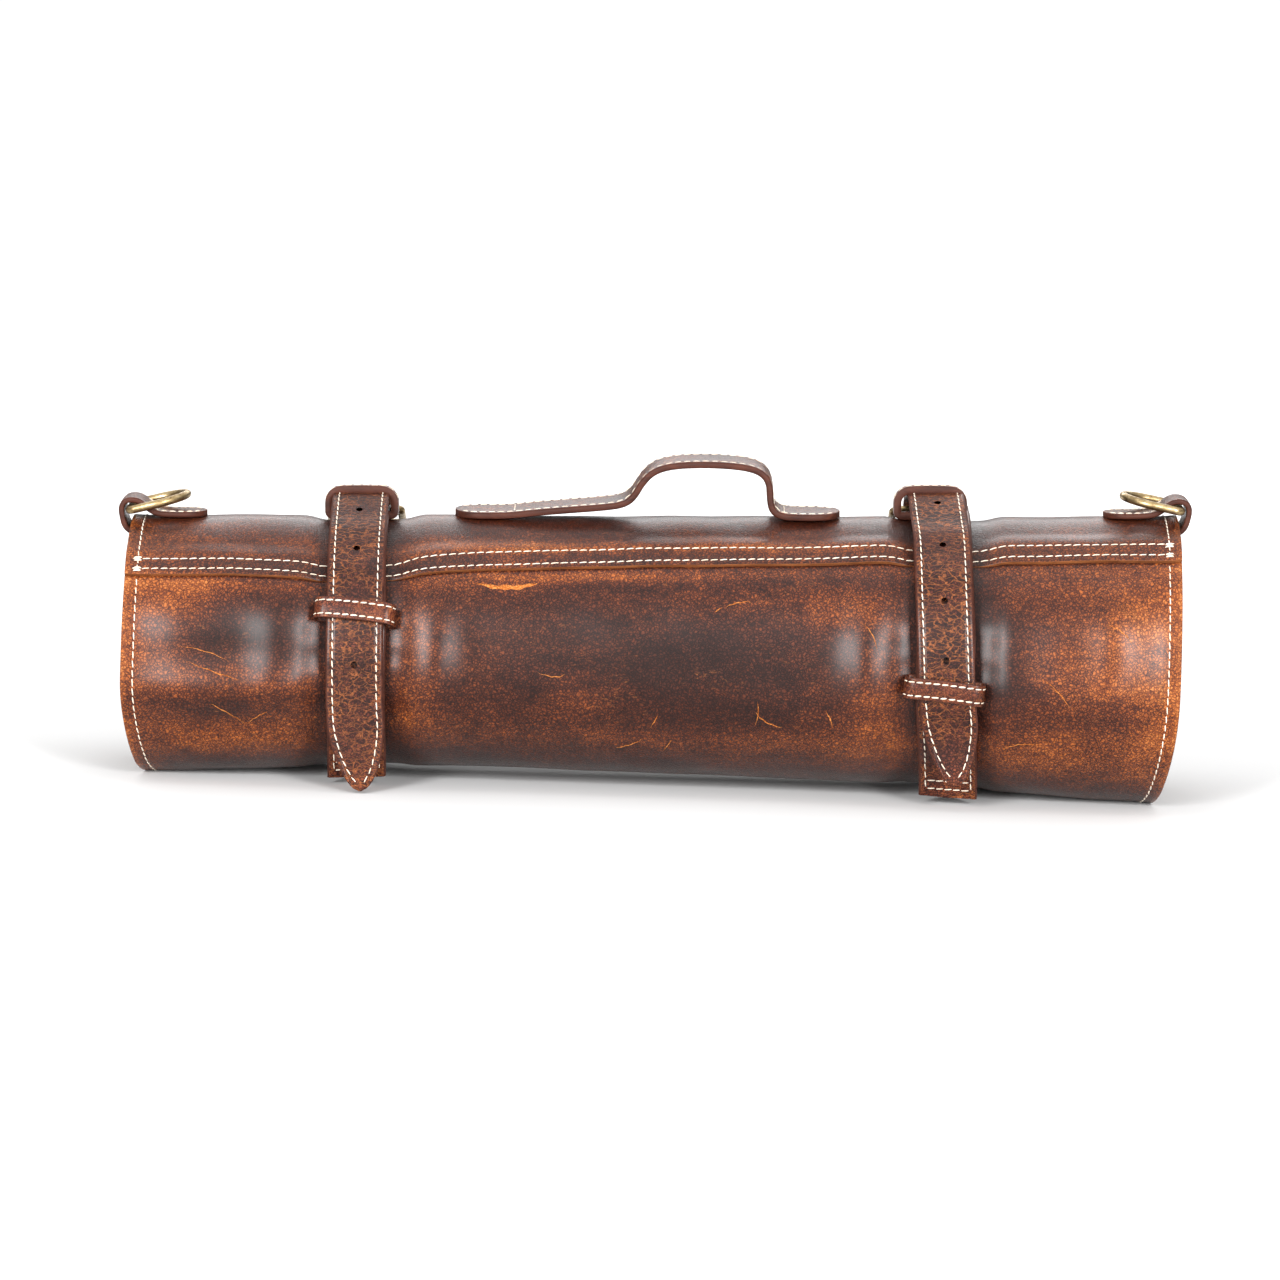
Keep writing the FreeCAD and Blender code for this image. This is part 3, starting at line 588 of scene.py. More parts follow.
CASE_LEATHER = leather("case_leather", seed=0.31, mottle=0.34, rough=0.33)
SCUFFED = leather("scuffed_leather", 0.88, 1.0, 0.6, 0.0, 0.5, 0.9, mottle=0.3, coat=0.0)
STRAP_LEATHER = leather("strap_leather", 0.34, 1.0, 1.0, 1.0, 0.36, 1.7, STRAP_STOPS, flat=2.1)
KEEPER_LEATHER = leather("keeper_leather", 0.46, 1.0, 0.8, 0.5, 0.40, 2.9, STRAP_STOPS, flat=1.5)
HANDLE_LEATHER = leather("handle_leather", 0.32, 1.0, 0.8, 0.6, 0.44, 4.1, STRAP_STOPS, flat=1.2)
FLESH_SIDE = leather("flesh_side", 0.52, 1.0, 1.0, 0.0, 0.75, 5.3, coat=0.0)
CUT_EDGE = cut_edge_material("cut_edge", (0.060, 0.018, 0.007), (0.28, 0.095, 0.030))
DARK_EDGE = cut_edge_material("burnished_edge", (0.016, 0.0050, 0.0038), (0.085, 0.025, 0.014))
THREAD_MAT = thread_material()
BRASS = brass_material()
CLOTH = cloth_material()

# --- Shell ------------------------------------------------------------------------------------
# Where the leather's colour has lifted, plus some painted highlights and painted shade: (x, angle, width in x, width
# in angle, amount)
WEAR_AND_PAINTED_LIGHT = [
    (-236, 90, 9, 90, 0.18), (-215, 58, 26, 14, 0.22), (-222, 84, 16, 22, 0.20), (-180, 118, 40, 16, 0.22),
    # Left end fold: the lighter band at angle 97 is a painted highlight on its ridge; the darker bands at angles 78
    # and 110 are painted shade in its hollows.
    (-190, 92, 30, 12, 0.02), (-178, 97, 50, 6, 0.16), (-196, 78, 40, 7, -0.12), (-196, 110, 40, 6, -0.20),
    # The darker marks at (190, 104) and (160, 92) are painted shade along a diagonal hollow at the right end.
    (190, 104, 26, 7, -0.16), (160, 92, 22, 7, -0.12), (-205, 128, 30, 14, 0.10), (-170, 74, 18, 12, -0.06),
    (-160, 30, 60, 9, 0.10),
    # The lighter stripes at x -104 and -108 are painted highlights on the bulge beside the left strap.
    (-104, 84, 9, 30, 0.14), (-108, 118, 12, 16, 0.12), (-64, 51, 38, 2.2, 0.14), (-15, 50, 34, 2.5, 0.14),
    (-70, 76, 34, 16, -0.05), (-20, 84, 54, 22, -0.10), (34, 90, 46, 26, -0.11), (20, 66, 30, 8, 0.10), (62, 62, 40, 12, 0.10),
    # The lighter stripes at x 104 are painted highlights on the bulge beside the right strap.
    (86, 64, 18, 8, 0.16), (104, 80, 14, 28, 0.14), (104, 118, 16, 18, 0.16),
    (0, 124, 110, 8, 0.12), (150, 132, 80, 14, 0.14), (-185, 134, 50, 8, 0.12),
    (152, 70, 16, 18, -0.10), (176, 56, 22, 9, 0.08), (192, 92, 28, 24, 0.24), (216, 70, 18, 22, 0.26),
    (228, 108, 14, 40, 0.22), (182, 122, 40, 14, 0.18), (236, 60, 8, 60, 0.20), (0, 35, 210, 6, 0.20), (0, 16, 200, 12, -0.05),
    (-60, 34, 40, 6, 0.10), (60, 30, 50, 7, 0.12), (200, 24, 40, 10, 0.06), (-200, 20, 40, 12, 0.05),
    # These two make the shell darker along the underside.
    (120, 150, 160, 14, -0.10), (-120, 150, 160, 14, -0.12),
]


def wear_and_painted_light_at(s, x):
    angle = spiral_at(s)[4]
    amount = np.full(np.broadcast(s, x).shape, 0.37)
    for cx, ca, wx, wa, high in WEAR_AND_PAINTED_LIGHT:
        amount = amount + high * bump(x, cx, wx) * bump(angle, ca, wa)
    # Painted shadow: a darker band on the shell along each strap's edges, where the strap standing off the shell
    # shades it.
    for centre in STRAP_X.values():
        amount = amount - 0.16 * (bump(np.abs(x - centre), 13, 5)) * smooth(angle, -60, -20)
    under = seam_length(x) - s
    # A few mm below the sewn edge the leather is lighter; the thin darker band right at and just below the edge is
    # painted shadow cast by the upper panel's lap.
    amount = amount + 0.16 * bump(under, -4.5, 3.2) - 0.10 * smooth(under, -1.6, -0.4) * (1 - smooth(under, 0, 1.5))
    amount = amount + 0.06 * bump(under, 10.5, 2.0) + 0.10 * bump(under, 0.3, 0.8) - 0.04 * bump(under, 5.2, 2.5)
    amount = amount + 0.22 * smooth(np.abs(x), 236.5, 240)
    return amount + 0.10 * smooth(angle, 200, 260)


SHELL_LOWEST = 0.06  # keeps the shell and its thread above the floor
THREAD_LOWEST = 0.03


def x_stations():
    xs = [np.arange(-HALF_LENGTH, HALF_LENGTH + 0.1, 3.0)]
    return np.unique(np.round(np.concatenate(xs + [[-238.8, 238.8, -234.5, 234.5]]), 3))


def build_shell():
    xs = x_stations()
    seam = seam_length(xs)
    fractions = np.unique(np.concatenate([
        np.linspace(0, 0.80, 46), np.linspace(0.80, 0.9, 10),
        1 - np.array([11.5, 10.2, 9.4, 8.8, 8.2, 7.2, 5.8, 4.4, 3.4, 2.7, 2, 1.2, 0.6, 0.25, 0]) / 111.0,
    ]))
    s = fractions[:, None] * seam[None, :]
    x = np.broadcast_to(xs, s.shape)
    t = seam[None, :] - s
    outer = roll_point(s, x, lap_profile(t, x))
    inner = roll_point(s, x, lap_profile(t, x) - 2.0)
    upper = thick_sheet("shell_upper", outer, inner, {"wear": wear_and_painted_light_at(s, x)})
    upper = bevel(upper, 0.35, 2)

    outer_turn = np.concatenate([[-13, -10, -6, -3, -1.2, -0.4, 0.4, 1.5], np.arange(3.5, 150, 2.4)])
    end = SPIRAL[-1, 0]
    inner_turn = np.linspace(0, 1, 170)[1:]
    first = seam[None, :] + outer_turn[:, None]
    rest = first[-1:, :] + inner_turn[:, None] * (end - first[-1:, :])
    s = np.concatenate([first, rest])
    x = np.broadcast_to(xs, s.shape)
    below = s - seam[None, :]
    sunk = -0.35 * (1 - smooth(below, -1.5, 1.2)) - 0.5 * (1 - smooth(below, -13, -7))
    outer = roll_point(s, x, sunk)
    inner = roll_point(s, x, sunk - 2.1 + 0.9 * (1 - smooth(below, -13, -3)))
    outer[..., 2] = np.maximum(outer[..., 2], SHELL_LOWEST)
    lower = thick_sheet("shell_lower", outer, inner, {"wear": wear_and_painted_light_at(s, x)})
    lower = bevel(lower, 0.35, 2)
    for obj, node in ((upper, "shell_upper_panel"), (lower, "shell_lower_panel")):
        obj.data.materials.append(CASE_LEATHER)
        obj.data.materials.append(CUT_EDGE)
        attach(obj, "case")
        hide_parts(node)

    rows = []
    along = np.linspace(-HALF_LENGTH + 3.0, HALF_LENGTH - 3.0, 240)
    for row in SEAM_ROWS:
        t_in = np.interp(along, ROW_X, row)

        def seam_row(ss, xx, t_in=t_in):
            return roll_point(ss, xx, lap_profile(t_in, xx))
        rows.append(stitch_arrays(*row_on_grid(seam_row, seam_length(along) - t_in, along, 0.05)))
    def free_row(ss, xx):
        return roll_point(ss, xx, 0.0)
    rows.append(stitch_arrays(*row_on_grid(free_row, np.full(len(along), 5.5), along, 0.05)))
    for sign in (-1, 1):
        hem = sign * (HALF_LENGTH - 5.6)
        seam_here = float(seam_length(hem))
        upto = np.linspace(4.0, seam_here - 1.0, 60)
        def upper_row(ss, xx):
            return roll_point(ss, xx, lap_profile(seam_here - ss, xx))
        rows.append(stitch_arrays(*row_on_grid(upper_row, upto, np.full(len(upto), hem), 0.05)))
        down = np.linspace(seam_here + 1.2, float(length_at(330.0)), 220)
        rows.append(stitch_arrays(*row_on_grid(free_row, down, np.full(len(down), hem), 0.05)))
        for offset in (1.6, 3.0, 7.2, 8.6):
            ss = np.array([seam_here - offset] * 2)
            back = np.array([hem - 2.2, hem + 2.2])
            rows.append(stitch_arrays(*row_on_grid(upper_row, ss, back, 0.25), thread=0.55))
    sewn = stitches("stitching_shell", rows, THREAD_MAT)
    for vertex in sewn.data.vertices:
        vertex.co.z = max(vertex.co.z, THREAD_LOWEST * MM)
    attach(sewn, "case")


# Marks where the wax has been scratched off: half width, then (x, mm below the seam) along each
SCRATCHES = [
    (1.35, [(-79, 7.0), (-72, 8.6), (-64, 9.3), (-57, 8.6), (-52, 7.4)]),
    (0.38, [(-198, 60.0), (-190, 66.0), (-182, 72.5)]), (0.30, [(-182, 72.5), (-176, 66.5), (-172, 64.0)]),
    (0.26, [(-210, 41.0), (-196, 46.0), (-184, 49.0)]), (0.22, [(-214, 34.0), (-200, 37.0), (-190, 41.5)]),
    (0.30, [(33, 21.0), (38, 19.0), (44, 18.6)]), (0.26, [(28, 23.5), (31, 21.0)]),
    (0.28, [(1, 77.0), (3, 73.0), (4, 70.5)]), (0.26, [(7, 92.0), (9.5, 87.0), (10.5, 84.0)]),
    (0.26, [(-14, 90.0), (-8, 88.0), (-3, 84.5)]), (0.32, [(48, 69.0), (53, 73.5), (60, 76.0)]),
    (0.24, [(48, 75.0), (49, 69.0), (48.5, 64.0)]), (0.30, [(79, 68.0), (81.5, 72.0), (82.5, 76.0)]),
    (0.24, [(176, 52.0), (184, 58.0), (189, 64.0)]), (0.22, [(205, 30.0), (212, 33.0), (217, 38.0)]),
    (0.22, [(-50, 50.0), (-43, 52.0), (-38, 51.0)]), (0.20, [(95, 30.0), (99, 35.0), (101, 41.0)]),
    (0.24, [(160, 84.0), (168, 81.5), (177, 82.0)]),
]


def build_scratches():
    groups = []
    for half, marks in SCRATCHES:
        marks = np.array(marks, float)
        t = np.linspace(0, 1, 28)
        knots = np.linspace(0, 1, len(marks))
        curve = np.stack([np.polyval(np.polyfit(knots, marks[:, k], len(marks) - 1), t) for k in (0, 1)], -1)
        curve[:, 1] += 0.18 * np.sin(t * 19 + marks[0, 0])
        across = line_normals(curve)
        width = half * np.sin(np.pi * np.clip(t, 0.02, 0.98)) ** 0.7 * (1 + 0.25 * np.sin(t * 31 + marks[0, 1]))
        strips = []
        for share, out in ((-1, -0.05), (-0.5, 0.10), (0.5, 0.10), (1, -0.05)):
            spot = curve + across * (share * width)[:, None]
            strips.append(roll_point(seam_length(spot[:, 0]) + spot[:, 1], spot[:, 0], out))
        points = np.stack(strips, 1)
        faces = []
        for i in range(len(t) - 1):
            for j in range(3):
                faces.append((i * 4 + j, (i + 1) * 4 + j, (i + 1) * 4 + j + 1, i * 4 + j + 1))
        groups.append((points.reshape(-1, 3), np.array(faces)))
    points, faces = join_arrays(groups)
    obj = make_object("scuff_marks", points, faces.tolist(), 60, {"wear": np.full(len(points), 0.1)})
    obj.data.materials.append(SCUFFED)
    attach(obj, "case")


def build_inner_sheet(name, node, material, faces, angles, xs_range):
    xs = np.arange(xs_range[0], xs_range[1] + 0.1, 8.0)
    s = np.linspace(float(length_at(angles[0])), float(length_at(angles[1])), 260)
    grid_s, grid_x = np.meshgrid(s, xs, indexing="ij")
    outer = roll_point(grid_s, grid_x, -faces[0])
    inner = roll_point(grid_s, grid_x, -faces[1])
    obj = thick_sheet(name, outer, inner, {"wear": np.full(grid_s.shape, 0.35)})
    obj.data.materials.append(material)
    obj.data.materials.append(material)
    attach(obj, "case")
    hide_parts(node)
    return obj, xs[-1] - xs[0], s[-1] - s[0]


# --- Straps -----------------------------------------------------------------------------------
def hull(points):
    points = points[np.lexsort((points[:, 1], points[:, 0]))]
    def half(sequence):
        chain = []
        for p in sequence:
            while len(chain) > 1:
                a, b = chain[-2], chain[-1]
                if (b[0] - a[0]) * (p[1] - a[1]) - (b[1] - a[1]) * (p[0] - a[0]) <= 0:
                    chain.pop()
                else:
                    break
            chain.append(p)
        return chain[:-1]
    return np.array(half(points) + half(points[::-1]))


def make_wrap(x):
    """Distance from the axis to a taut strap round the visual shell, at polar angles -180 to 180."""
    s = np.linspace(0, float(length_at(300.0)), 700)
    seam = float(seam_length(x))
    over = np.where(s < seam, lap_profile(seam - s, x), 0)
    section = roll_point(s, np.full(len(s), x), over)[:, 1:]
    lift, scale = station(x)
    centre = np.array([AXIS_Y, lift + scale * BASE_DROP])
    corners = hull(section) - centre
    angles = np.arange(-180, 180.5, 0.5)
    radii = np.zeros(len(angles))
    for i, angle in enumerate(np.radians(angles)):
        d = np.array([-math.sin(angle), math.cos(angle)])
        a, b = corners, np.roll(corners, -1, axis=0)
        e = b - a
        det = d[0] * -e[:, 1] + d[1] * e[:, 0]
        det = np.where(np.abs(det) < 1e-12, 1e-12, det)
        reach = (a[:, 0] * -e[:, 1] + a[:, 1] * e[:, 0]) / det
        frac = (d[0] * a[:, 1] - d[1] * a[:, 0]) / det
        good = (frac >= -1e-9) & (frac <= 1 + 1e-9) & (reach > 0)
        radii[i] = reach[good].max()
    kernel = np.hanning(11)
    kernel /= kernel.sum()
    padded = np.concatenate([radii[-11:-1], radii, radii[1:11]])
    eased = np.convolve(padded, kernel, "same")[10:-10]
    return centre, angles, np.maximum(eased, radii - 0.15)


class StrapPlace:
    """Points and directions round the roll in the plane of one strap."""

    def __init__(self, side):
        self.side = side
        self.x = STRAP_X[side]
        self.centre, self.angles, self.radii = make_wrap(self.x)

    def at(self, angle, out=0.0):
        angle = np.asarray(angle, float)
        def spot(a):
            r = np.interp((a + 180) % 360 - 180, self.angles, self.radii)
            ra = np.radians(a)
            return self.centre + np.stack([-np.sin(ra) * r, np.cos(ra) * r], -1)
        along = unit(spot(angle + 0.6) - spot(angle - 0.6))
        normal = np.stack([along[..., 1], -along[..., 0]], -1)
        normal = normal * np.sign((normal * (spot(angle) - self.centre)).sum(-1, keepdims=True))
        return spot(angle) + normal * np.asarray(out, float)[..., None], normal, along

    def carry(self, points, x):
        """Takes (y, z) in the strap's plane to x on the tapering roll."""
        lift_a, scale_a = station(self.x)
        lift_b, scale_b = station(x)
        grow = scale_b / scale_a
        y = AXIS_Y + (points[..., 0] - AXIS_Y) * grow
        z = lift_b + (points[..., 1] - lift_a) * grow
        return np.stack([np.broadcast_to(x, y.shape), y, z], -1)


def strap_profile():
    """Cross-section of a strap as (share of half width, share of thickness), with a thread groove."""
    top = [(-0.93, 0.96), (-0.82, 1.0), (-0.785, 0.97), (-0.745, 0.86), (-0.705, 0.97), (-0.66, 1.0), (-0.33, 1.02)]
    top = top + [(0.0, 1.03)] + [(-u, v) for u, v in reversed(top)]
    right = [(0.985, 0.72), (1.0, 0.35), (1.0, -0.35), (0.985, -0.72)]
    under = [(0.93, -0.96), (0.6, -1.0), (0.0, -1.0), (-0.6, -1.0), (-0.93, -0.96)]
    left = [(-u, v) for u, v in reversed(right)]
    return np.array(top + right + under + left)


PROFILE = strap_profile()
TOP_COUNT = 15


def sweep_strap(name, centre, normal, half_width, thickness, place_at, wear=None):
    """A strap along a centre line in (y, z). place_at(points, x offset) gives the 3-D points."""
    count = len(centre)
    half_width = np.broadcast_to(half_width, count)
    thickness = np.broadcast_to(thickness, count)
    rings = []
    edge = []
    for u, v in PROFILE:
        flat = centre + normal * (v * thickness / 2)[:, None]
        rings.append(place_at(flat, u * half_width))
        edge.append(np.full(count, (1 - abs(u)) * STRAP_HALF))
    points = np.stack(rings, 1)
    n = len(PROFILE)
    edge = np.stack(edge, 1)
    faces = tube_faces(count, n)
    dark = [int(TOP_COUNT - 1 <= j < TOP_COUNT + 4 or j >= n - 5) for j in range(n)]
    rim = dark * (count - 1) + [1, 1]
    faces.append(tuple(range(n)))
    faces.append(tuple((count - 1) * n + j for j in reversed(range(n))))
    noise = 0.03 * np.sin(np.arange(count) / 5.0)[:, None]
    shade = 0.16 * np.exp(-edge / 1.6) - 0.05 * bump(edge, 3.3, 1.0) + noise
    if wear is not None:
        shade = shade + wear[:, None]
    return make_object(name, points.reshape(-1, 3), faces, 45, {"wear": shade.ravel()}, rim)


def finish_piece(obj, body, materials, nodes=()):
    for material in materials:
        obj.data.materials.append(material)
    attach(obj, body)
    if nodes:
        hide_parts(*nodes)


def edge_rows(centre, normal, half_width, thickness, place_at, inset, start):
    """Rows of stitches down both edges of a strap, always as far in from its outline."""
    groups = []
    half_width = np.broadcast_to(half_width, len(centre)).astype(float)
    thickness = np.broadcast_to(thickness, len(centre)).astype(float)
    along = distances(centre)
    slope = np.gradient(half_width, along)
    row = half_width - inset * np.sqrt(1 + slope**2)
    lift = 0.92 * thickness / 2
    for sign in (-1, 1):
        path = place_at(centre + normal * lift[:, None], sign * row)
        above = place_at(centre + normal * (lift + 1)[:, None], sign * row)
        inside = (along >= start) & (row > 0.5)
        groups.append(stitch_arrays(path[inside], unit(above - path)[inside]))
    return groups


def cut_holes(obj, spots, radius=1.55, length=9.0):
    """Round holes through a strap at (point, direction)."""
    for point, direction in spots:
        sides = 20
        d = Vector(direction).normalized()
        turn = d.to_track_quat("Z", "Y")
        around = np.linspace(0, 2 * math.pi, sides, endpoint=False)
        ring = [turn @ Vector((math.cos(a), math.sin(a), 0)) * radius for a in around]
        low = [(Vector(point) - d * length / 2 + r) * MM for r in ring]
        high = [(Vector(point) + d * length / 2 + r) * MM for r in ring]
        mesh = bpy.data.meshes.new("punch")
        faces = [(i, (i + 1) % sides, sides + (i + 1) % sides, sides + i) for i in range(sides)]
        faces += [tuple(reversed(range(sides))), tuple(range(sides, 2 * sides))]
        mesh.from_pydata([tuple(p) for p in low + high], [], faces)
        punch = bpy.data.objects.new("punch", mesh)
        bpy.context.scene.collection.objects.link(punch)
        mod = obj.modifiers.new("punch", "BOOLEAN")
        mod.operation = "DIFFERENCE"
        mod.solver = "EXACT"
        mod.object = punch
        apply_modifiers(obj)
        bpy.data.objects.remove(punch)


def smooth_line(points, step):
    """An even, rounded line through points, by repeated corner cutting."""
    p = np.asarray(points, float)
    for _ in range(3):
        q = np.empty((2 * len(p), p.shape[1]))
        q[0], q[-1] = p[0], p[-1]
        q[1:-1:2] = p[:-1] * 0.75 + p[1:] * 0.25
        q[2:-1:2] = p[:-1] * 0.25 + p[1:] * 0.75
        p = q
    along = distances(p)
    return sample(np.linspace(0, along[-1], max(4, int(along[-1] / step))), along, p)


def line_normals(line, centre=None):
    ahead = unit(np.gradient(line, axis=0))
    normal = np.stack([-ahead[:, 1], ahead[:, 0]], -1)
    if centre is not None and (normal * (line - centre)).sum() < 0:
        normal = -normal
    return normal


# How far the billet and its tail wander sideways: (height, shift), from the floor up
LEAN = {
    "left": ([1, 38, 67, 107, 124], [4.0, 0.0, -0.7, -1.6, -2.2]),
    "right": ([12, 55, 96, 128.6, 135], [6.4, 0.8, -1.5, -2.8, -5.2]),
}
HOLES = {"left": (13.5, 41.0, 68.0, 91.5), "right": (7.0, 37.0, 61.0, 85.0)}
TIP_LENGTH = 29.0
CROSS_X = np.linspace(-9.5, 9.5, 12)
# From the heel bar: (along the buckle, out from the roll)
THROUGH_BUCKLE = [(30.0, -9.3), (24.0, -6.6), (20.0, -5.3), (15.0, -0.7), (10.0, 4.2), (5.0, 6.8), (0.0, 7.8)]
HEEL_FOLD = [
    (-7.0, 1.9), (-3.4, 2.6), (0.0, 2.85), (2.1, 2.0), (2.85, 0.0), (2.1, -2.0), (0.0, -2.75), (-3.5, -1.9), (-9.0, -1.0),
]


def lean_at(side, points):
    heights, shifts = LEAN[side]
    z = points[..., 1]
    spread = [np.interp(z + d, heights, shifts) for d in (-9, -4.5, 0, 4.5, 9)]
    front = sum(spread) / len(spread)
    behind = shifts[-1] * smooth(z, 20, 110)
    return front + (behind - front) * smooth(points[..., 0], 2, 26)


def tip_width(to_tip):
    """Half width of a pointed, rounded strap end."""
    share = np.clip(to_tip / TIP_LENGTH, 0, 1)
    ogive = 0.78 * np.sqrt(1 - (1 - share) ** 2) + 0.22 * share
    return (STRAP_HALF - 0.15) * np.clip(ogive, 0.04, 1.0)


def build_straps(side):
    place = StrapPlace(side)
    hinge = TAIL_HINGE[side]
    x0 = place.x

    def moved(points, offset, shift):
        placed = place.carry(points, x0 + offset)
        placed[..., 0] += shift
        return placed

    def straight(points, offset):
        z = points[..., 1]
        return moved(points, offset, BASE_LEAN[side] * (1 - smooth(z, 4, 60)) - 2.0 * smooth(z, 70, 118))

    def put(points, offset):
        return moved(points, offset, lean_at(side, points))

    heel, v, along = place.at(np.array(HEEL_ANGLE), np.array(HEEL_STANDOFF))
    u = -along * np.sign(-along[0])
    half = STRAP_THICKNESS / 2

    # Billet behind: sewn under the back, up it, through the buckle, as far as the fixed loop
    angles = np.arange(-154.0, HEEL_ANGLE - 34.0, 2.0)
    back = place.at(angles, np.full(len(angles), 0.25 + half))[0]
    through = np.array(THROUGH_BUCKLE)
    middle = heel + through[:, :1] * u + through[:, 1:] * v
    cut = FIXED_KEEPER_ANGLE + 1.0

    def laid(angle):
        """Height of the billet's underside over the roll, down the front."""
        ride = HEEL_STANDOFF + 7.8 - half
        ease = smooth(angle, FIXED_KEEPER_ANGLE, 21)
        return ride * (1 - ease) + BILLET_STANDOFF * ease

    lead = place.at(np.array([-12.0, -8.0, cut]), laid(np.array([-12.0, -8.0, cut])) + half)[0]
    line = smooth_line(np.concatenate([back, middle, lead]), 1.6)
    normal = line_normals(line, place.centre)
    width = np.full(len(line), STRAP_HALF - 0.15)
    billet = sweep_strap(f"billet_{side}_back", line, normal, width, np.full(len(line), STRAP_THICKNESS), put)
    oval = []
    shift = BUCKLE_SHIFT[side] - float(lean_at(side, heel[None])[0])
    for share in (8.5, 11.0, 13.5, 16.0, 18.5):
        spot = heel + u * share
        oval.append((put(spot[None], np.array([shift]))[0], (0, v[0], v[1])))
    cut_holes(billet, oval, 1.9, 26.0)
    finish_piece(billet, "case", [STRAP_LEATHER, DARK_EDGE], [f"billet_{side}"])
    rows = edge_rows(line, normal, width, STRAP_THICKNESS, put, 3.0, 0.2)
    for cross in (4.0, 12.0, 20.0):
        i = int(cross / 1.6)
        rows.append(cross_row(put, line[i] + normal[i] * half, [0, *normal[i]], CROSS_X))
    sewn = stitches(f"stitching_billet_{side}", rows, THREAD_MAT)
    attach(sewn, "case")

    # Billet in front and its free tail: one length of leather that bends where the roll falls away
    angles = np.linspace(cut, hinge, 60)
    ahead = place.at(angles, laid(angles) + half)[0]
    points = [place.at(np.array(hinge + 0.3), np.array(BILLET_STANDOFF + half))[0]]
    gone, step = 0.0, 1.2
    tip = TAIL_TIP_HEIGHT[side] + 0.15
    while points[-1][1] - step > tip:
        a = math.radians(90 + (hinge - 90) * (1 - float(smooth(gone, 0, 24))))
        points.append(points[-1] + np.array([-math.cos(a), -math.sin(a)]) * step)
        gone += step
    points.append(np.array([points[-1][0], tip]))
    line = smooth_line(np.concatenate([ahead, np.array(points)]), 1.2)
    normal = line_normals(line, place.centre)
    down = distances(line)
    to_tip = down[-1] - down
    line = line + normal * (0.9 * np.exp(-to_tip / 16.0))[:, None]
    width = tip_width(to_tip)
    thickness = STRAP_THICKNESS - 0.9 * np.exp(-to_tip / 5.0)
    wear = 0.10 * np.exp(-to_tip / 16.0)
    tail = sweep_strap(f"strap_{side}_front", line, normal, width, thickness, put, wear)
    spots = []
    for angle in HOLES[side]:
        target = place.at(np.array(angle), np.array(BILLET_STANDOFF + half))[0]
        i = int(np.argmin(np.hypot(*(line - target).T)))
        spots.append((put(line[i][None], np.zeros(1))[0], (0, normal[i][0], normal[i][1])))
    cut_holes(tail, spots)
    tail.data.materials.append(STRAP_LEATHER)
    tail.data.materials.append(DARK_EDGE)
    rows = edge_rows(line, normal, width, thickness, put, 3.0, 0.2)
    sewn = stitches(f"stitching_{side}_front", rows, THREAD_MAT)
    hinge_point = place.at(np.array(hinge), np.array(0.0))[0]
    for piece in (tail, sewn):
        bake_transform(piece)
    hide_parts(f"strap_tail_{side}")

    # Base strap: sewn end under the front, up to the buckle, folded round its heel bar
    angles = np.arange(124.0, -9.0, -2.0)
    path = place.at(angles, np.full(len(angles), BASE_STANDOFF + half))[0]
    foot = np.array(BASE_END[side])
    inset = place.at(np.array(133.0), np.array(1.2 + half))[0]
    path = np.concatenate([[foot, foot * 0.6 + inset * 0.4, inset], path])
    around = [heel + u * a + v * b for a, b in HEEL_FOLD]
    line = smooth_line(np.concatenate([path[:-1], np.array(around)]), 1.3)
    forward = unit(np.gradient(line, axis=0))
    normal = np.stack([forward[:, 1], -forward[:, 0]], -1)
    first = slice(0, len(line) // 2)
    if (normal[first] * (line[first] - place.centre)).sum() < 0:
        normal = -normal
    near = np.linalg.norm(line - heel, axis=1)
    skived = np.where((near < 16) & (np.arange(len(line)) > len(line) // 2), 1.35, STRAP_THICKNESS)
    kernel = np.hanning(9) / np.hanning(9).sum()
    skived = np.convolve(np.pad(skived, 4, "edge"), kernel, "valid")
    width = np.full(len(line), STRAP_HALF + 0.2)
    wear = 0.12 * (1 - smooth(np.arange(len(line)) * 1.3, 20, 60))
    base = sweep_strap(f"base_strap_{side}_leather", line, normal, width, skived, straight, wear)
    finish_piece(base, "case", [STRAP_LEATHER, DARK_EDGE], [f"base_strap_{side}"])
    low = slice(0, int(62 / 1.3))
    rows = edge_rows(line[low], normal[low], width[low], skived[low], straight, 3.0, 3)
    for cross in (4.4, 7.2):
        i = max(1, int(round(cross / 1.3)))
        rows.append(cross_row(straight, line[i] + normal[i] * half, [0, *normal[i]], CROSS_X))
    sewn = stitches(f"stitching_base_{side}", rows, THREAD_MAT)
    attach(sewn, "case")
    return place


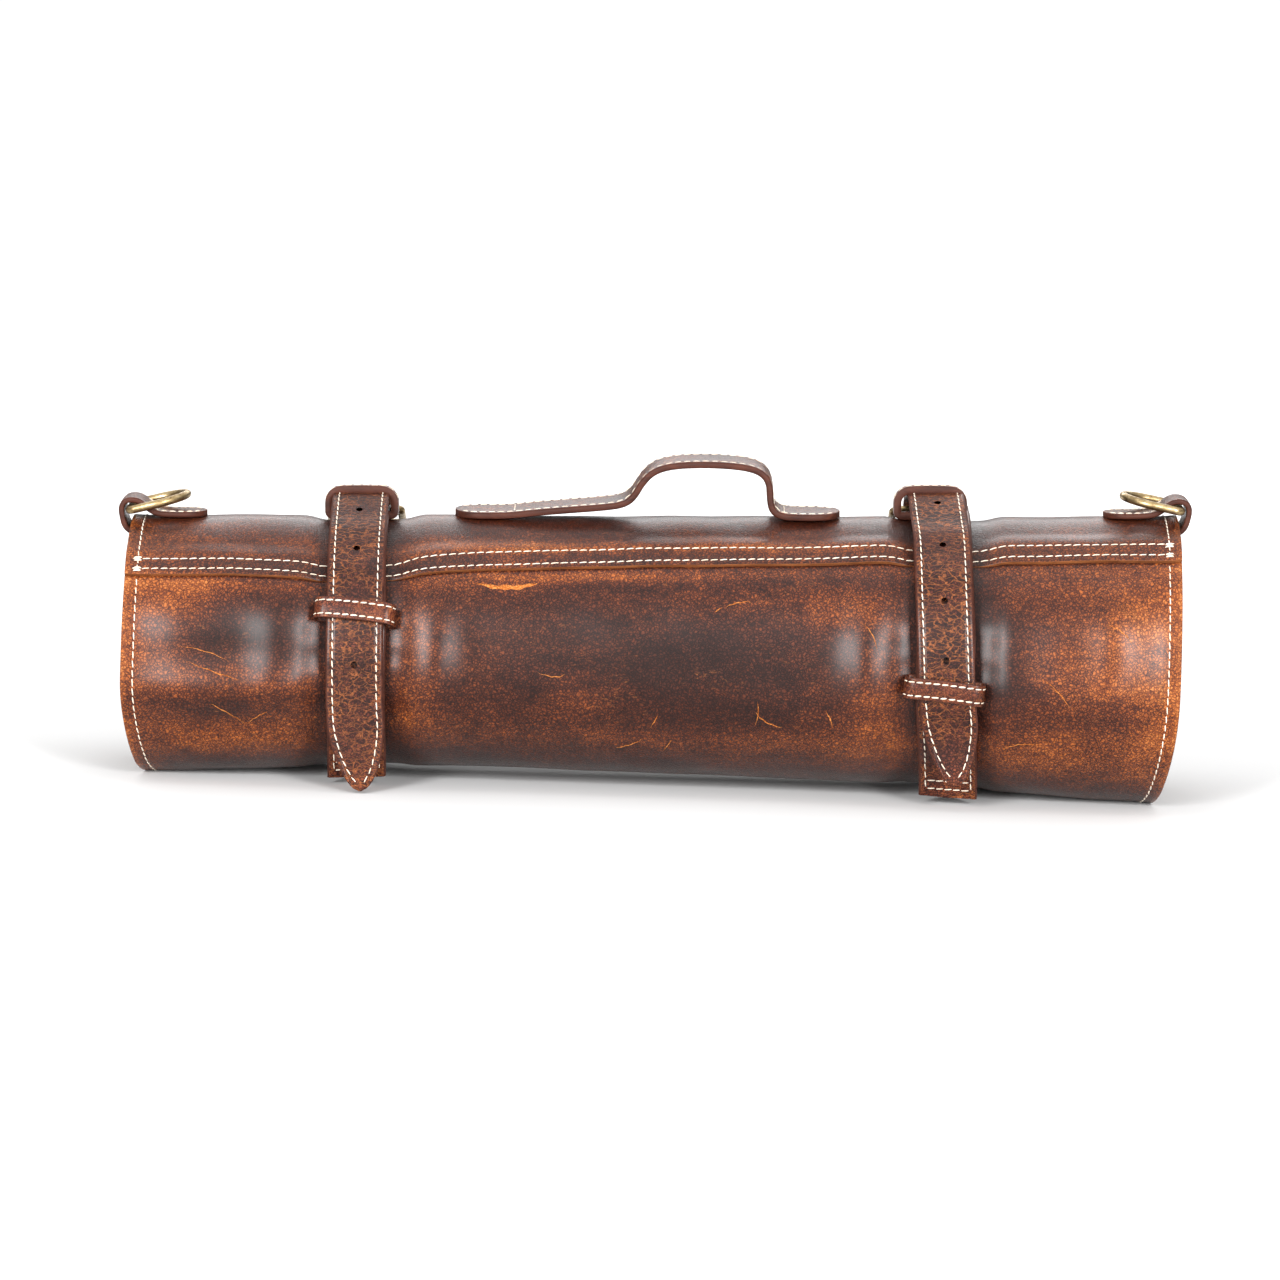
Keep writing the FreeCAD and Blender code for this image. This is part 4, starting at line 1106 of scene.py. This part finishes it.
def build_keeper(name, place, angle, low, high, half, body, node, tilt, shift, wall, corner=4.0, bow=0.3):
    """A loop of leather: a closed band round the straps, 10 long down them, its corners rounded."""
    half_mid, low_mid, high_mid = half - wall / 2, low + wall / 2, high - wall / 2
    path = []
    for cx, cz, radius, start in ((half_mid, high_mid, corner, 0), (-half_mid, high_mid, corner, 90),
                                  (-half_mid, low_mid, 2.0, 180), (half_mid, low_mid, 2.0, 270)):
        mx, mz = cx - math.copysign(radius, cx), cz - (radius if start < 180 else -radius)
        for a in np.radians(np.linspace(start, start + 90, 9)):
            path.append((mx + radius * math.cos(a), mz + radius * math.sin(a), math.cos(a), math.sin(a)))
    path = np.array(path)
    dense = []
    for i in range(len(path)):
        a, b = path[i], path[(i + 1) % len(path)]
        pieces = max(1, int(np.hypot(*(b[:2] - a[:2])) / 2.0))
        for k in range(pieces):
            dense.append(a + (b - a) * k / pieces)
    path = np.array(dense)
    path[:, 2:] = unit(path[:, 2:])
    crown = 0.5 * (1 - (path[:, 0] / half_mid) ** 2) * (path[:, 1] > (low_mid + high_mid) / 2)
    spot, n, _ = place.at(np.array(angle), np.array(0.0))
    x_low = place.carry(spot[None], np.array([place.x - STRAP_HALF]))[0]
    x_high = place.carry(spot[None], np.array([place.x + STRAP_HALF]))[0]
    across = unit(x_high - x_low)
    out = unit(np.array([0, n[0], n[1]]) - across * np.dot([0, n[0], n[1]], across))
    length = np.cross(out, across)
    turn = math.radians(tilt)
    across, length = across * math.cos(turn) + length * math.sin(turn), length * math.cos(turn) - across * math.sin(turn)
    origin = np.array([place.x + shift, spot[0], spot[1]])
    h = KEEPER_LENGTH / 2
    w = wall / 2
    outline = [(-h + 0.15, 0.45 * w), (-h + 0.5, 0.9 * w), (-h + 1.5, w), (-h + 1.9, 0.77 * w),
               (-h + 2.3, w), (0, 1.08 * w),
               (h - 2.3, w), (h - 1.9, 0.77 * w), (h - 1.5, w), (h - 0.5, 0.9 * w), (h - 0.15, 0.45 * w),
               (h - 0.15, -0.45 * w), (h - 0.5, -0.95 * w), (0, -w), (-h + 0.5, -0.95 * w), (-h + 0.15, -0.45 * w)]
    rings = []
    for a, b in outline:
        y = path[:, 1] + crown * (b > 0) + path[:, 3] * b
        xx = path[:, 0] + path[:, 2] * b
        sag = bow * (1 - 2 * (xx / half) ** 2)
        rings.append(origin + across * xx[:, None] + out * y[:, None] + length * (a + sag)[:, None])
    points = np.stack(rings, 1)
    count, n_out = points.shape[:2]
    faces, rim = [], []
    for i in range(count):
        for j in range(n_out):
            k, m = (j + 1) % n_out, (i + 1) % count
            faces.append((i * n_out + j, m * n_out + j, m * n_out + k, i * n_out + k))
            rim.append(1 if j in (0, 9, 10, 11, 14, 15) else 0)
    shade = np.tile([0.18, 0.1, 0.02, -0.05, 0.02, 0.03, 0.02, -0.05, 0.02, 0.1, 0.18, 0, 0, 0, 0, 0], (count, 1))
    obj = make_object(name, points.reshape(-1, 3), faces, 50, {"wear": shade.ravel()}, rim)
    finish_piece(obj, body, [KEEPER_LEATHER, DARK_EDGE], [node])
    rows = []
    face = (path[:, 1] > (low_mid + high_mid) / 2) & (path[:, 3] > -0.05)
    order = np.argsort(path[face, 0])
    top = path[face][order]
    lifted = top[:, 1] + crown[face][order] + top[:, 3] * w
    for a in (-h + 1.9, h - 1.9):
        xx = top[:, 0] + top[:, 2] * w
        sag = bow * (1 - 2 * (xx / half) ** 2)
        row = origin + across * xx[:, None] + out * lifted[:, None] + length * (a + sag)[:, None]
        normals = unit(across * top[:, 2:3] + out * top[:, 3:4])
        rows.append(stitch_arrays(row, normals, 3.8, 3.1, 0.40))
    sewn = stitches(name.replace("_leather", "_stitching"), rows, THREAD_MAT)
    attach(sewn, body)


# --- Handle and ring tabs ----------------------------------------------------------------------
def top_height(x):
    lift, scale = station(x)
    return lift + scale * NOMINAL_HEIGHT


def flat_strap(name, line, y_at, half_width, thickness, wear_base, end_round, tip=0.0):
    """A strap whose side view is a line in (x, z), its width along Y, with rounded ends."""
    ahead = unit(np.gradient(line, axis=0))
    normal = np.stack([-ahead[:, 1], ahead[:, 0]], -1)
    along = distances(line)
    width = np.full(len(line), float(half_width))
    for rounded, distance in zip(end_round, (along, along[-1] - along)):
        if rounded:
            t = np.clip(distance / half_width, 0, 1)
            width = np.minimum(width, half_width * np.sqrt(np.clip(1 - (1 - t) ** 2, 0.01, 1)))

    def put(points, offset):
        return np.stack([points[..., 0], y_at(points[..., 0]) + offset, points[..., 1] + tip * offset], -1)

    obj = sweep_strap(name, line, normal, width, thickness, put, np.full(len(line), wear_base))
    return obj, line, normal, width, put, along


HANDLE_THICKNESS = 3.1
HANDLE_POINTS = [
    (-91.0, 1.95), (-84.0, 1.95), (-75.0, 1.95), (-66.0, 2.05), (-53.0, 3.6), (-34.0, 5.2), (-22.0, 6.2), (-14.5, 7.4),
    (-10.0, 10.5), (-6.6, 17.0), (-1.5, 22.6), (6.9, 25.2), (19.6, 25.9), (32.3, 25.6), (43.5, 24.2), (49.6, 21.0),
    (51.8, 15.5), (51.9, 9.5), (53.2, 4.6), (58.0, 2.2), (66.0, 1.95), (75.0, 1.95), (84.0, 1.95),
]


def build_handle():
    tops = np.interp([p[0] for p in HANDLE_POINTS], [-91.0, 84.0], [top_height(-91.0), top_height(84.0)])
    raw = np.array([(x, base + high) for (x, high), base in zip(HANDLE_POINTS, tops)])
    line = smooth_line(raw, 1.5)

    def y_at(x):
        return AXIS_Y + 1.8 - 4.2 * smooth(x, -95, 90)

    obj, line, normal, width, put, along = flat_strap(
        "handle_strap", line, y_at, 12.5, HANDLE_THICKNESS, 0.04, (True, True), 0.055)
    row = (1 - 2.6 / 12.0) * width
    keep = (along > 2.2) & (along < along[-1] - 2.2)
    rows = side_rows(line, normal, row, 0.93 * HANDLE_THICKNESS / 2, put, keep)
    for at in (26.0, along[-1] - 26.0):
        i = int(np.searchsorted(along, at))
        top = line[i] + normal[i] * HANDLE_THICKNESS / 2
        rows.append(cross_row(put, top, [normal[i][0], 0, normal[i][1]], np.linspace(-8.0, 8.0, 12)))
    sewn = stitches("stitching_handle", rows, THREAD_MAT)
    base = np.array([0.0, AXIS_Y, float(np.interp(0, [-91, 84], [top_height(-91.0), top_height(84.0)]))])
    for piece in (obj, sewn):
        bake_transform(piece)
    obj.data.materials.append(HANDLE_LEATHER)
    obj.data.materials.append(DARK_EDGE)
    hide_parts("handle_end_left", "handle_leg_left", "handle_grip", "handle_leg_right", "handle_end_right")


TAB_THICKNESS = 2.6
FINE_THREAD = (3.9, 3.1, 0.42)  # pitch, length, thread
TAB_POINTS = [
    (36.0, 1.45), (28.0, 1.45), (20.0, 1.5), (13.5, 2.0), (9.6, 4.2), (6.6, 7.2), (2.6, 8.5), (-1.2, 7.6),
    (-2.7, 4.6), (-2.0, 0.5), (-0.8, -4.0), (2.5, -6.6), (8.0, -7.0), (16.0, -7.0),
]


def build_tab(side):
    sign = -1 if side == "left" else 1
    top = float(top_height(sign * HALF_LENGTH))
    raw = []
    for inward, high in TAB_POINTS:
        x = sign * (HALF_LENGTH - inward)
        near = sign * min(abs(x), HALF_LENGTH)
        base = top if inward < 8 else float(top_height(near))
        raw.append((x, base + high))
    line = smooth_line(np.array(raw), 1.2)
    obj, line, normal, width, put, along = flat_strap(
        f"ring_tab_{side}_leather", line, lambda x: AXIS_Y + 0 * x, 11.0, TAB_THICKNESS, 0.0, (True, False))
    if normal[2][1] <= 0:
        normal = -normal
    row = (1 - 2.4 / 11.0) * width
    keep = (along > 2.0) & (along < 30.0)
    rows = side_rows(line, normal, row, 0.93 * TAB_THICKNESS / 2, put, keep, *FINE_THREAD)
    i = int(np.searchsorted(along, 24.0))
    top = line[i] + normal[i] * 1.32
    rows.append(cross_row(put, top, [normal[i][0], 0, normal[i][1]], np.linspace(-7.5, 7.5, 10), *FINE_THREAD))
    finish_piece(obj, "case", [STRAP_LEATHER, DARK_EDGE], [f"ring_tab_{side}"])
    sewn = stitches(f"stitching_tab_{side}", rows, THREAD_MAT)
    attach(sewn, "case")


# --- Assembly -----------------------------------------------------------------------------------
build_shell()
build_scratches()
lining, lining_width, lining_length = build_inner_sheet(
    "lining_cloth", "lining", CLOTH, (2.35, 3.25), (-57.0, 976.0), (-238.0, 238.0))
for name, node, faces, reach in (
    ("pocket_panel_leather", "pocket_panel", (3.4, 4.8), (-232.0, 20.0)),
    ("cover_flap_leather", "cover_flap", (4.9, 6.0), (-40.0, 236.0)),
):
    build_inner_sheet(name, node, FLESH_SIDE, faces, (200.0, 960.0), reach)
for side, low, tilt, aside in (("left", 0.6, -6.5, 0.0), ("right", 1.0, -4.0, 1.0)):
    place = build_straps(side)
    slide = SLIDING_KEEPER_ANGLE[side]
    spot = place.at(np.array(slide), np.array(8.0))[0]
    build_keeper(f"sliding_keeper_{side}_leather", place, slide, low, 11.0, 18.2, f"keeper_{side}",
                 f"sliding_keeper_{side}", tilt, float(lean_at(side, spot[None])[0]) - aside, 1.2)
    build_keeper(f"fixed_keeper_{side}_leather", place, FIXED_KEEPER_ANGLE, 0.4, 15.6, 16.8, "case",
                 f"fixed_keeper_{side}", 0.0, FIXED_SHIFT[side], 3.6, 5.8, 0.0)
    build_tab(side)
build_handle()
for name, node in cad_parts.items():
    if name.startswith("d_ring"):
        node.data.materials.clear()
        node.data.materials.append(BRASS)
    elif name.startswith("buckle"):
        side = name.rsplit("_", 1)[1]
        mesh = node.data.copy()
        centre = STRAP_X[side] * MM
        mesh.transform(Matrix.Translation((-centre, 0, 0)))
        mesh.transform(Matrix.Diagonal((BUCKLE_NARROW, 1, 1, 1)))
        mesh.transform(Matrix.Translation((centre + BUCKLE_SHIFT[side] * MM, 0, 0)))
        mesh.materials.clear()
        mesh.materials.append(BRASS)
        brass = bpy.data.objects.new(name + "_brass", mesh)
        bpy.context.scene.collection.objects.link(brass)
        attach(brass, name.replace("_frame", "").replace("buckle_prong", "prong"))
        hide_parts(name)

# --- Stage, light, camera -----------------------------------------------------------------------
def build_stage():
    material, tree, shader = new_material("pale_floor")
    t = Tree(tree)
    # Painted shade: the floor's colour is darker in front of and under the case and pales towards the back.
    away = t.band(t.node("ShaderNodeSeparateXYZ", {0: t.coords}).outputs["Y"], 0.1, 2.6)
    tone = t.math("MULTIPLY_ADD", t.noise(3.0, 2.0), 0.02, away)
    colour = t.ramp(tone, [(0.0, (0.60, 0.60, 0.60)), (0.35, (0.80, 0.80, 0.80)), (1.0, (0.96, 0.96, 0.96))])
    tree.links.new(colour, shader.inputs["Base Color"])
    shader.inputs["Roughness"].default_value = 0.8
    shader.inputs["Specular IOR Level"].default_value = 0.1
    size = 16.0
    mesh = bpy.data.meshes.new("floor")
    mesh.from_pydata([(-size, -size, 0), (size, -size, 0), (size, size, 0), (-size, size, 0)], [], [(0, 1, 2, 3)])
    floor = bpy.data.objects.new("floor", mesh)
    bpy.context.scene.collection.objects.link(floor)
    mesh.materials.append(material)

    world = bpy.data.worlds.new("studio")
    world.use_nodes = True
    tree = world.node_tree
    background = tree.nodes["Background"]
    direction = tree.nodes.new("ShaderNodeTexCoord").outputs["Generated"]
    split = tree.nodes.new("ShaderNodeSeparateXYZ")
    tree.links.new(direction, split.inputs[0])
    rise = tree.nodes.new("ShaderNodeMapRange")
    rise.interpolation_type = "SMOOTHSTEP"
    for key, value in (("From Min", 0.10), ("From Max", 0.80), ("To Min", 0.10), ("To Max", 1.36)):
        rise.inputs[key].default_value = value
    tree.links.new(split.outputs["Z"], rise.inputs["Value"])
    tree.links.new(rise.outputs["Result"], background.inputs[1])
    background.inputs[0].default_value = (1, 1, 1, 1)
    bpy.context.scene.world = world


def area_light(name, place, target, size, power, size_y):
    data = bpy.data.lights.new(name, "AREA")
    data.shape = "RECTANGLE"
    data.size = size
    data.size_y = size_y
    data.energy = power
    light = bpy.data.objects.new(name, data)
    bpy.context.scene.collection.objects.link(light)
    light.location = place
    light.rotation_euler = (Vector(target) - Vector(place)).to_track_quat("-Z", "Y").to_euler()


def build_camera():
    distance, elevation, roll = 3.0, math.radians(8.0), math.radians(1.85)
    target = Vector((-0.0050, AXIS_Y * MM, 0.0645))
    data = bpy.data.cameras.new("camera")
    data.sensor_width = 36.0
    data.lens = 184.6
    data.clip_end = 30.0
    camera = bpy.data.objects.new("camera", data)
    bpy.context.scene.collection.objects.link(camera)
    camera.location = target + Vector((0, -math.cos(elevation), math.sin(elevation))) * distance
    aim = (target - camera.location).to_track_quat("-Z", "Y").to_matrix().to_4x4()
    camera.matrix_world = Matrix.Translation(camera.location) @ aim @ Matrix.Rotation(roll, 4, "Z")
    bpy.context.scene.camera = camera


build_stage()
area_light("softbox_left", (-2.00, -4.04, 1.50), (-0.04, 0, 0.06), 0.95, 290, 2.3)
area_light("softbox_right", (2.00, -4.04, 1.50), (0.04, 0, 0.06), 0.85, 265, 2.3)
area_light("softbox_top", (0, -0.35, 1.7), (0, 0, 0.05), 1.5, 4, 0.5)
area_light("softbox_back", (0, 1.7, 0.85), (0, 0, 0.10), 1.8, 11, 0.4)
build_camera()
bpy.context.scene.view_settings.view_transform = "Standard"
